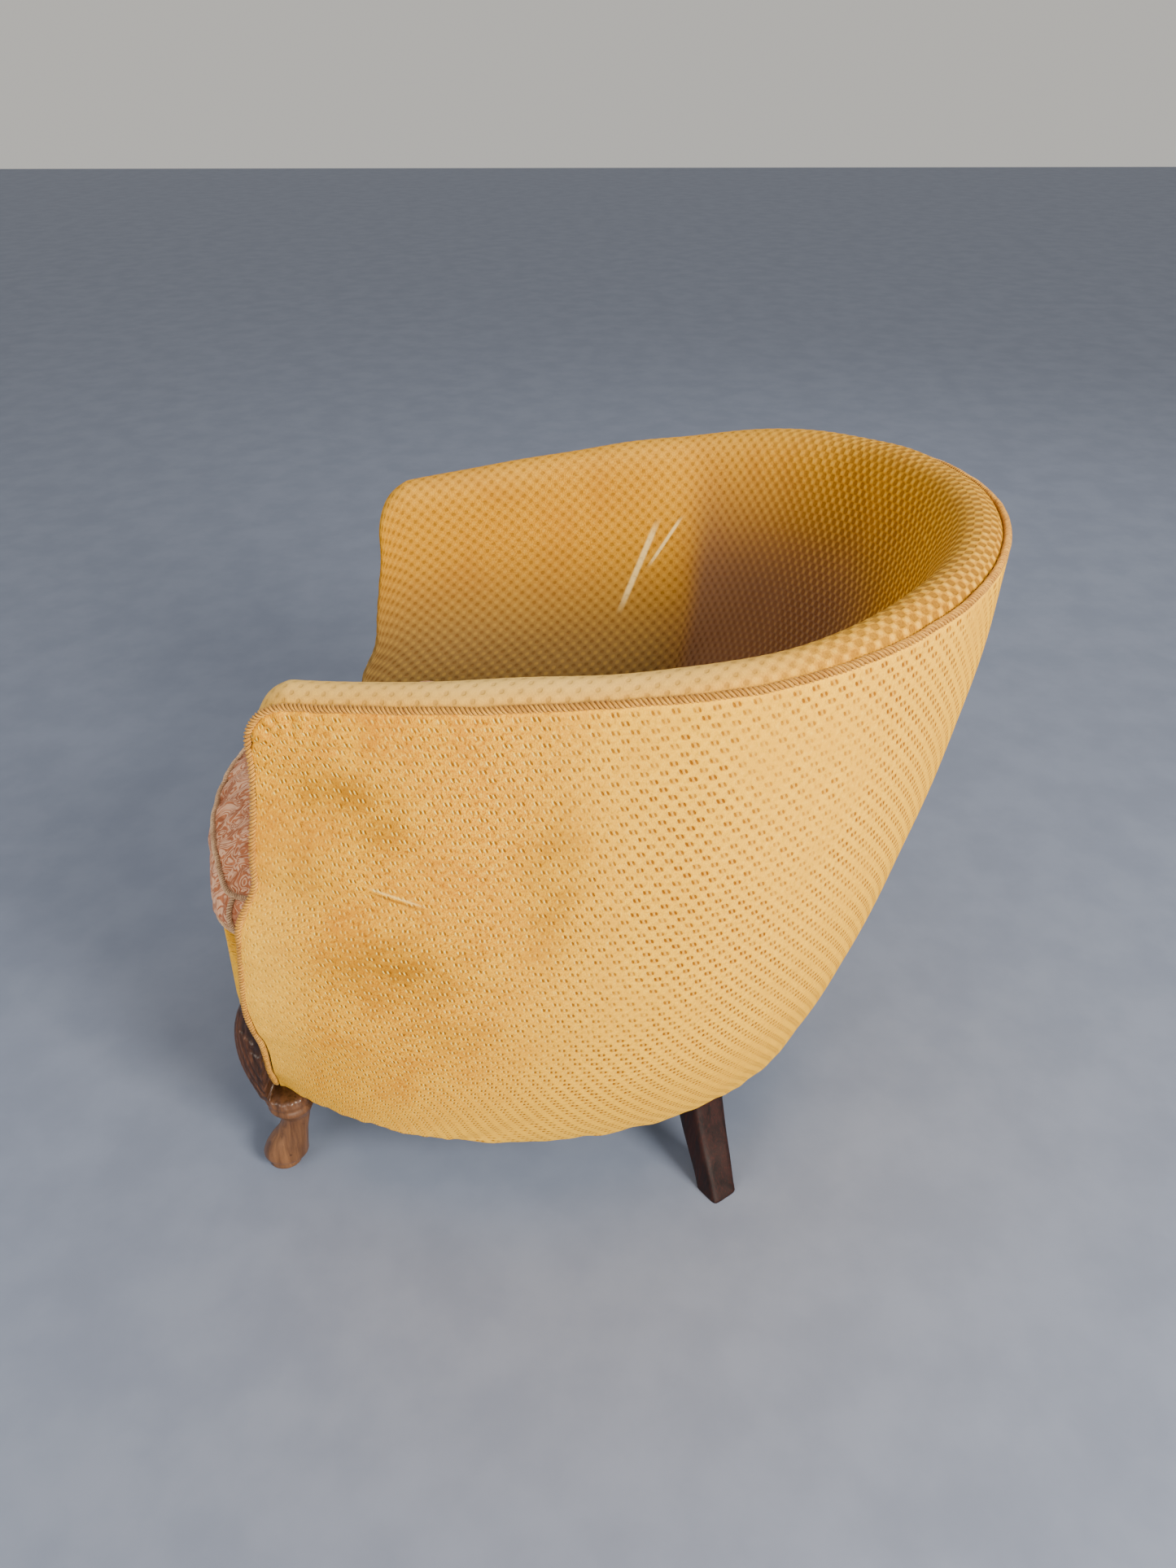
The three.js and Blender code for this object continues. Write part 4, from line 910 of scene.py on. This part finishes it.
def arm_front(edge, side):
    """The arm's front face: from the inside cover's front edge across to the cord, slightly domed."""
    rows = len(edge)
    share = np.linspace(0, 1, FRONT_STEPS + 1)[1:]
    order = np.linspace(0, 1, rows)
    # The roll's rows spread out down the cord's line, so that no two lie on each other.
    roll_end = (ROLL_ROWS + 8) / rows
    heights = np.interp(order, [0, roll_end, 1], [ARM_TOP_Z - 0.001, ARM_TOP_Z - 0.045, edge[-1, 2]])
    line = wall_point(side, heights, 0.003)
    line[:, 1] += 0.001
    columns = lerp(edge[:, None], line[:, None], share[:, None])
    dome = FRONT_BULGE[side] * np.sin(np.pi * share**0.8) ** 0.6
    fade = np.clip(order * 9, 0, 1)[:, None] ** 0.5
    gathers = 0.0007 * np.cos(heights * TURN / 0.021)[:, None] * np.sin(np.pi * share)
    columns[..., 1] -= dome * fade + gathers
    return columns


def inner_back(points, u):
    """The hidden back of the inside padding, over the top rail and down the hessian."""
    seat = rim_z(np.abs(u)) - 0.0181
    order = np.linspace(0, 1, len(points))[:, None]
    over = 0.12
    depth = np.where(order < over, lerp(0.007, PAD_OUTER, order / over), PAD_OUTER)
    z = np.where(order < over, seat, lerp(seat, TUCK_Z - 0.001, (order - over) / (1 - over)))
    def behind(front, side):
        x, y, z = np.moveaxis(front, -1, 0)
        y = np.maximum(y + 0.004, front_edge_y(z) - 0.0005)
        return stacked(x - side * 0.0008, y, np.minimum(z, ARM_TOP_Z - 0.006))
    return np.concatenate([behind(points[:, :FRONT_STEPS], RIGHT), wall_point(u, z, depth),
                           behind(points[:, -FRONT_STEPS:], LEFT)], axis=1)


def rim_cord_half(side):
    """Half of the rim cord's line, from the arm's foot to the back's middle."""
    stands = CORD_STANDS[side]
    heights = np.linspace(0.108, 0.575, 60)
    up = wall_point(side, heights, 0.001)
    foot = 0.0034 * (1 - ramp(heights, 0.22, 0.3))
    up[:, 1] -= lerp(CORD_STANDS[LEFT], stands, ramp(heights, 0.3, 0.42)) + foot
    angle = np.linspace(math.pi / 2, 0, 14)
    tau = lerp(CORNER_START, 1, np.sin(angle))
    over = wall_point(side * tau, rim_z(tau), 0.001)
    over[:, 1] -= np.sin(angle) * stands
    over[:, 2] += (np.cos(angle) - 1) * max(stands, 0) * 0.4
    tau = np.linspace(CORNER_START, 0, 90)[1:]
    return np.concatenate([up, over, wall_point(side * tau, rim_z(tau), 0.001)])


def rim_cord():
    """The twisted cord in the seam, up one arm's front, round the rim and down the other."""
    path = resampled(np.concatenate([rim_cord_half(LEFT), rim_cord_half(RIGHT)[-2::-1]]), 900)
    along = arc_lengths(path)
    path[:, 2] += 0.0006 * wander(along, 0 * along, 0.05, 31)
    path[:, 0] += 0.0005 * wander(along, 0 * along, 0.06, 32)
    piece = twisted_cord("rim_cord_twisted", path, RIM_CORD_RADIUS, RIM_CORD_LAY, 0.0013)
    dress(piece, "rim_cord", "trim_cord", "rim_cord")


def front_apron():
    """The cover below the cushion's front, pulled tight over the front rail and arched over the knees."""
    rows, columns, width = 90, 300, 0.57
    reach = np.linspace(-1, 1, columns)
    z = lerp(APRON_BOTTOM, APRON_TOP, np.linspace(0, 1, rows)[:, None]) + 0 * reach
    x = reach * lerp(0.27, wall_point(1, z, 0.004)[..., 0], ramp(np.abs(reach), 0.6, 1))
    pull = 0.0010 * wander(x, 0.2 * z, 0.05, 41)
    pull = pull + 0.0012 * np.exp(-(z - APRON_BOTTOM) / 0.02) * wander(x, 0 * x, 0.03, 42)
    arch = 0.250 - 20 * (np.abs(x) - KNEE_MIDDLE_X) ** 2
    below_arch = 1 - ramp(z - arch, -0.007, 0.007)
    behind_knee = ramp(np.abs(x), KNEE_INNER_X, KNEE_INNER_X + 0.012) * below_arch
    y = bow_y(APRON, x) - pull + 0.0004 + 0.026 * behind_knee
    y = lerp(y, np.minimum(y, front_edge_y(z) - 0.003), ramp(np.abs(reach), 0.86, 1.0))
    points = stacked(x, y, z)
    folded = [points[-1] + [0, back, rise] for back, rise in APRON_FOLD]
    points = np.concatenate([points, np.stack(folded)])
    piece = grid_piece("front_apron_cover", points, stacked(points[..., 0], arc_lengths(points)))
    add_attributes(piece, points.shape[:2], wear=0.8, crisp=0.1, soil=0.3 * bell(points[..., 2], 0.2, 0.05))
    thicken(piece, APRON_THICKNESS)
    dress(piece, "outer", "velour", "front_apron")


# ---------- Seat ----------

def seat_outline(bow, clearance, count, softened=0):
    """A closed line inside the tub with a bowed front. softened is how often its corners are rounded."""
    u, z = np.linspace(-1, 1, 241), CUSHION_BOTTOM
    wall = wall_point(u, z, inner_depth(np.abs(u), z) + clearance)
    x = np.linspace(bow["corner_x"], -bow["corner_x"], 81)
    line = resampled(np.concatenate([wall, stacked(x, bow_y(bow, x), z)]), count, closed=True)
    for _ in range(softened):
        line = 0.5 * line + 0.25 * (np.roll(line, 1, 0) + np.roll(line, -1, 0))
    return line


def outward_of(line):
    """Unit vectors that point out of a closed line, which runs clockwise seen from above."""
    along = np.roll(line, -1, 0) - np.roll(line, 1, 0)
    out = np.stack([-along[:, 1], along[:, 0], 0 * along[:, 0]], axis=1)
    return out / np.linalg.norm(out, axis=1)[:, None]


def deck_platform():
    """The seat under the cushion: a lined pad with a sewn edge, seen when the cushion is lifted out."""
    line = seat_outline(PLATFORM, -0.004, 300)
    rings = DECK_EDGE + [(share, 0.3182 + 0.0012 * (1 - share)) for share in np.linspace(0.88, 0.02, 30)]
    points = []
    for share, z in rings:
        ring = SEAT_MIDDLE + (line - SEAT_MIDDLE) * share
        ring[:, 2] = z + 0.0008 * wander(ring[:, 0], ring[:, 1], 0.07, 51) * (share < 0.9)
        points.append(ring)
    points = np.array(points)
    points[..., 2] = np.minimum(points[..., 2], DECK_TOP - 0.0002)
    piece = grid_piece("seat_platform", points, points[..., :2], wrap_columns=True, caps=True)
    dress(piece, "canvas", "velour", "seat_deck_cover", "seat_stuffing")


def top_seam_z(line):
    """The top seam rises over the bow and dips at the front corners."""
    x = np.abs(line[:, 0])
    middle = 1 - ramp(x, 0.06, 0.215)
    return TOP_SEAM + ramp(-line[:, 1], 0.24, 0.36) * (0.006 * middle - 0.012 * bell(x, 0.222, 0.035))


def corner_slack(line):
    """How far the boxing hangs forward, slack, beside each front corner."""
    return 0.0105 * bell(np.abs(line[:, 0]), 0.193, 0.026) * ramp(-line[:, 1], 0.34, 0.36)


def cushion_body():
    """The stuffed cushion, swollen by a cloth simulation between its two sewn seams.
    Also returns the rows of its border, and the way out of it."""
    line = seat_outline(CUSHION, CUSHION_CLEAR, 300, softened=7)
    out, top, slack = outward_of(line), top_seam_z(line), corner_slack(line)
    def ring(share, z, push=0.0):
        made = SEAT_MIDDLE + (line - SEAT_MIDDLE) * share + out * push
        made[:, 2] = z
        return made
    border = []
    for t in np.linspace(0, 1, 13):
        row = ring(1.0, lerp(LOW_SEAM, top, t), 0.0012 + 0.0050 * math.sin(math.pi * t))
        row[:, 1] -= slack * (1 - t**2) ** 0.7
        border.append(row)
    crown = [ring(share, top + (1 - share**2.2) * (CROWN_Z - top)) for share in np.linspace(0.97, 0.02, 34)]
    base = [ring(share, CUSHION_BOTTOM + 0.0004) for share in np.linspace(0.02, 0.985, 14)]
    base[-1][:, 1] -= slack * 0.9
    rows = np.array(base + border + crown)
    start = grid_piece("cushion_start", rows, rows[..., :2], wrap_columns=True, caps=True, flip=True)
    body = remeshed(start, "cushion_body")
    points = points_of(body.data)
    points = swollen(body, points, np.concatenate([border[-1], border[0]]))
    body.data.vertices.foreach_set("co", crumpled(points).astype(np.float32).ravel())
    body.data.shade_smooth()
    body.data.update()
    body.modifiers.new("smooth", "SMOOTH").iterations = 1
    finer = body.modifiers.new("finer", "SUBSURF")
    finer.levels = finer.render_levels = 1
    return body, border, out


def points_of(mesh):
    """A mesh's points as an array (points, 3)."""
    points = np.zeros(len(mesh.vertices) * 3, np.float32)
    mesh.vertices.foreach_get("co", points)
    return points.reshape(-1, 3).astype(float)


def remeshed(start, name):
    """An evenly meshed piece in a start shape's place."""
    remesh = start.modifiers.new("remesh", "REMESH")
    remesh.mode = "VOXEL"
    remesh.voxel_size = CUSHION_VOXEL
    mesh = bpy.data.meshes.new_from_object(start.evaluated_get(bpy.context.evaluated_depsgraph_get()))
    bpy.data.objects.remove(start)
    piece = bpy.data.objects.new(name, mesh)
    bpy.context.scene.collection.objects.link(piece)
    return piece


def swollen(piece, rest, seams):
    """Blows a piece up as cloth, held at its seams and where it lies flat. Returns its points."""
    count = len(seams)
    tree = BVHTree.FromPolygons([Vector(p) for p in seams], [(i, (i + 1) % count, i) for i in range(count)])
    held = [i for i, p in enumerate(rest)
            if p[2] < CUSHION_BOTTOM + 0.004 or tree.find_nearest(Vector(p))[3] < 0.0045]
    piece.vertex_groups.new(name="held").add(held, 1.0, "REPLACE")
    cloth = piece.modifiers.new("cloth", "CLOTH").settings
    cloth.use_pressure = True
    cloth.uniform_pressure_force = 5.0
    cloth.effector_weights.gravity = 0.0
    cloth.quality = 6
    cloth.mass = 0.25
    cloth.tension_stiffness = cloth.compression_stiffness = 12
    cloth.bending_stiffness = 0.4
    cloth.vertex_group_mass = "held"
    cloth.shrink_min = -0.05
    scene = bpy.context.scene
    scene.frame_start, scene.frame_end = 1, CLOTH_FRAMES
    for number in range(1, CLOTH_FRAMES + 1):
        scene.frame_set(number)
    done = piece.evaluated_get(bpy.context.evaluated_depsgraph_get())
    step = points_of(done.to_mesh()) - rest
    done.to_mesh_clear()
    piece.modifiers.clear()
    scene.frame_set(1)
    far = np.linalg.norm(step, axis=1)
    return rest + step * np.minimum(1, FURTHEST_SWELL / np.maximum(far, 1e-9))[:, None]


def crumpled(points):
    """Adds the slack folds of a worn cover: long dents on the crown, and rings round the front corners."""
    points = points.copy()
    top = ramp(points[:, 2], 0.386, 0.400)
    points[:, 2] += top * 0.0022 * wander(points[:, 0], points[:, 1], 0.11, 61)
    points[:, 2] += top * 0.0009 * wander(points[:, 0] * 0.5, points[:, 1], 0.035, 62)
    for side, strength in CREASE_DEPTHS.items():
        corner = np.array([side, 1]) * CORNER_CREASES_AT
        away = np.hypot(*(points[:, :2] - corner).T)
        rings = strength * np.cos(away * TURN / 0.014) * np.exp(-away / 0.032)
        points[:, 2] += rings * ramp(points[:, 2], 0.372, 0.385)
        out = (points[:, :2] - corner) / np.maximum(away, 1e-6)[:, None]
        side_band = bell(points[:, 2], 0.355, 0.014) * np.exp(-away / 0.03)
        ripple = 0.0014 * np.cos(points[:, 2] * TURN / 0.013)
        points[:, :2] += out * (ripple * side_band)[:, None]
    return points


def laid_on(surface, path, out, stand):
    """Moves each point of a path along its outward line to stand off a surface."""
    laid = []
    for point, direction in zip(path, out):
        hit = surface.ray_cast(Vector(point + direction * 0.05), Vector(-direction), 0.09)[0]
        laid.append(np.array(hit) + direction * stand if hit else point)
    laid = np.array(laid)
    laid[1:-1] = 0.5 * laid[1:-1] + 0.25 * (laid[2:] + laid[:-2])
    return laid


def cushion():
    """The loose cushion, with twisted cord laid round both seams and over each front corner."""
    body, border, out = cushion_body()
    dress(body, "velvet", "velvet", "cushion_filling", "cushion_top_panel", "cushion_bottom_panel",
          "cushion_border", body="seat_cushion")
    surface = BVHTree.FromObject(body, bpy.context.evaluated_depsgraph_get())
    def cord(name, path, way_out, step, closed, *nodes):
        path = laid_on(surface, path, way_out, CUSHION_CORD_RADIUS * 0.45)
        piece = twisted_cord(name, path, CUSHION_CORD_RADIUS, CUSHION_CORD_LAY, step, closed, sides=12)
        dress(piece, "cushion_cord", "cushion_cord", *nodes, body="seat_cushion")
    cord("cushion_cord_top_twisted", border[-1], out, 0.0012, True, "cushion_cord_top")
    cord("cushion_cord_bottom_twisted", border[0], out, 0.0012, True, "cushion_cord_bottom")
    for side in (LEFT, RIGHT):
        away = border[-1][:, :2] - np.array([side, 1]) * CORNER_CORD_AT
        near = int(np.argmin(np.linalg.norm(away, axis=1)))
        path = np.array([row[near] for row in border])
        cord(f"cushion_cord_corner_{SIDE_NAMES[side]}", path, [out[near]] * len(path), 0.001, False)


# ---------- Legs ----------

# Each leg as rings from the floor up: height, middle x and y, half width and half depth, in mm. These
# are the left legs; the right ones mirror them.
FRONT_LEG_RINGS = [
    (0, 234, -340, 17.2, 18), (1.5, 234, -340, 18, 18.8), (12, 234, -340, 18, 18.8),
    (12.6, 234, -339, 21.6, 23.4), (14, 234, -338, 23.2, 25.2), (17, 234, -337.5, 23.8, 26),
    (24, 234, -336, 23, 25), (36, 233, -332, 20.4, 22.2), (50, 231.5, -326, 16.4, 17.6),
    (63, 229, -322, 15.2, 16), (73, 227.5, -321.5, 16.8, 17.6), (78, 227, -323, 20.6, 21.2),
    (85, 226, -325.5, 24.2, 24.6), (102, 224, -329, 27.2, 28.4), (134, 222, -336, 30, 33),
    (160, 222, -339, 32, 34.5), (188, 222, -340, 32, 33.5), (214, 223, -339, 30, 29),
    (240, 225, -338, 25, 18),
]
REAR_LEG_RINGS = [
    (0, 253, 164, 16.2, 16.2), (1.2, 252.7, 164, 16.8, 16.8), (14, 246, 161, 17, 17),
    (34, 235, 156, 18.2, 18.2), (60, 220, 149, 19.6, 19.6), (90, 206, 142.5, 20.8, 20.8),
    (110, 199.5, 139.7, 21.2, 21.2), (150, 197, 138.5, 21.2, 21.2),
]
REAR_LEG_TURN = math.radians(40)


def loft_rings(rings, steps, sides):
    """Smooth rings through the keys, as columns of their five values, and the angles round them."""
    keys = np.array(rings) / 1000
    heights = arc_lengths(np.stack([keys[:, 0], keys[:, 1] * 0.5, keys[:, 3]], axis=1))
    parameter = np.interp(np.linspace(0, heights[-1], steps), heights, np.arange(len(keys)))
    return spline(keys, parameter).T[..., None], np.linspace(0, TURN, sides, endpoint=False)


def leg_piece(kind, side, points, angle, wrap):
    """A leg from its rings of points, mirrored for the right side. wrap is its radius in cloth metres."""
    points[..., 0] *= side
    uv = stacked(angle * wrap, points[..., 2])
    name = f"{kind}_{SIDE_NAMES[side]}"
    return grid_piece(name, points, uv, wrap_columns=True, caps=True, flip=side == LEFT)


def knee_carving(z, angle):
    """How far the carving stands out: a leaf with veins down the knee's front, flutes beside it, a collar."""
    knee = ramp(z, 0.090, 0.100) * (1 - 0.3 * ramp(z, 0.21, 0.24))
    # Angle measured from the front, where the leaf's middle rib runs.
    off = np.abs((angle + 0.75 * TURN) % TURN - math.pi)
    rise = np.clip((z - 0.096) / 0.14, 0, 1)
    leaf_half = (0.35 + 1.45 * np.sin(math.pi * rise**0.8)) * (1 + 0.13 * np.cos(rise * TURN * 5.5))
    leaf = ramp(leaf_half - off, 0.0, 0.12)
    veins = np.cos((off * 1.6 + rise * 1.2) * TURN * 2.6) * ramp(off, 0.1, 0.25)
    carving = leaf * (0.0016 + 0.0012 * bell(off, 0, 0.09) + 0.0011 * veins)
    carving = carving + 0.0009 * bell(off, leaf_half, 0.12)
    flutes = 0.0016 * (0.5 + 0.5 * np.cos(off * 14)) * (1 - leaf) * ramp(off, 0.5, 1.0)
    collar = 0.0012 * bell(z, 0.0835, 0.003) - 0.0014 * bell(z, 0.0905, 0.0022)
    return (carving - 0.0016 - flutes) * knee + collar


def carved_front_leg(side):
    """The cabriole leg: a round pad foot, a sharp ankle collar, and a knee carved with leaves and flutes."""
    (z, x, y, half_width, half_depth), angle = loft_rings(FRONT_LEG_RINGS, 170, 144)
    push = knee_carving(z, angle)
    x, y = x + (half_width + push) * np.cos(angle), y + (half_depth + push) * np.sin(angle)
    points = trimmed_knee(stacked(x, y, z))
    hollow = np.clip((0.0004 - push) / 0.0026, 0, 1) * ramp(z, 0.098, 0.106)
    # A painted shadow on the back of the knee, beside the rim cord, added to the hollows' darkening.
    cord_shadow = ramp(points[..., 1], -0.352, -0.340) * ramp(z, 0.108, 0.122)
    piece = leg_piece("carved_leg_front", side, points, angle, 0.03)
    add_attributes(piece, push.shape, hollow=np.clip(hollow + 0.7 * cord_shadow, 0, 1))
    dress(piece, "walnut", "walnut", f"leg_front_{SIDE_NAMES[side]}")


def trimmed_knee(points):
    """Moves the part of the knee behind the arm's front edge in under the cord, as the CAD cuts it."""
    x, y, z = np.moveaxis(points, -1, 0)
    edge = wall_point(1, np.maximum(z, HEM["z"]), 0.0)
    corner_x, corner_y = edge[..., 0] - 0.003, edge[..., 1] - 0.0124
    inside = (x > corner_x - 0.014) & (y > corner_y)
    trimmed = np.where(inside, np.minimum(x, corner_x - 0.012), x)
    return stacked(lerp(x, trimmed, ramp(z, 0.100, 0.112)), y, z)


def rear_leg(side):
    """The square sabre leg, with softened edges."""
    (z, x, y, half_width, half_depth), angle = loft_rings(REAR_LEG_RINGS, 70, 64)
    square = (np.abs(np.cos(angle)) ** 7 + np.abs(np.sin(angle)) ** 7) ** (-1 / 7)
    a, b = half_width * np.cos(angle) * square, half_depth * np.sin(angle) * square
    cos, sin = math.cos(REAR_LEG_TURN), math.sin(REAR_LEG_TURN)
    points = stacked(x + a * cos - b * sin, y + a * sin + b * cos, z)
    piece = leg_piece("sabre_leg_rear", side, points, angle, 0.02)
    dress(piece, "mahogany", "mahogany", f"leg_rear_{SIDE_NAMES[side]}")


# ---------- Underside, and the CAD nodes that stay ----------

CAD_FINISHES = [
    ("leg_screw", "steel"), ("seat_spring", "steel"), ("web_", "jute"), ("tub_hessian", "hessian"),
    ("spring_canvas", "canvas"), ("dust_cover", "cambric"), ("seat_rail", "beech"), ("back_", "beech"),
    ("front_post", "beech"), ("arm_rail", "beech"), ("stay_rail", "beech"), ("corner_block", "beech"),
]


def dust_cover():
    """The black cambric under the seat, which sags a little between its tacks."""
    wall = wall_point(np.linspace(-0.9, 0.9, 161), HEM["z"], 0.024)
    x = np.linspace(0.176, -0.176, 61)
    front = stacked(x, bow_y(APRON, x) + 0.010, HEM["z"])
    line = resampled(np.concatenate([wall, front]), 260, closed=True)
    middle = np.array([0, -0.07, 0.0])
    share = np.linspace(1, 0.02, 40)[:, None]
    points = middle + (line - middle) * share[..., None]
    ripple = 0.0007 * wander(points[..., 0], points[..., 1], 0.08, 71) * (1 - share**4)
    points[..., 2] = HEM["z"] + 0.0014 - 0.004 * (1 - share**2) + ripple
    piece = grid_piece("dust_cover_cloth", points, points[..., :2], wrap_columns=True)
    thicken(piece, CAMBRIC_THICKNESS, offset=0)
    dress(piece, "cambric", "cambric", "dust_cover")


def dress_cad_nodes():
    """Gives the CAD parts that stay visible their own finishes, by the start of their names."""
    for name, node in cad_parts.items():
        for start, key in CAD_FINISHES:
            if name.startswith(start):
                node.data.materials.clear()
                node.data.materials.append(MATERIALS[key])


add_camera()
add_floor()
add_lights()
outer_cover()
inner_cover()
rim_cord()
front_apron()
deck_platform()
cushion()
for which in (LEFT, RIGHT):
    carved_front_leg(which)
    rear_leg(which)
dust_cover()
dress_cad_nodes()

bpy.context.view_layer.update()
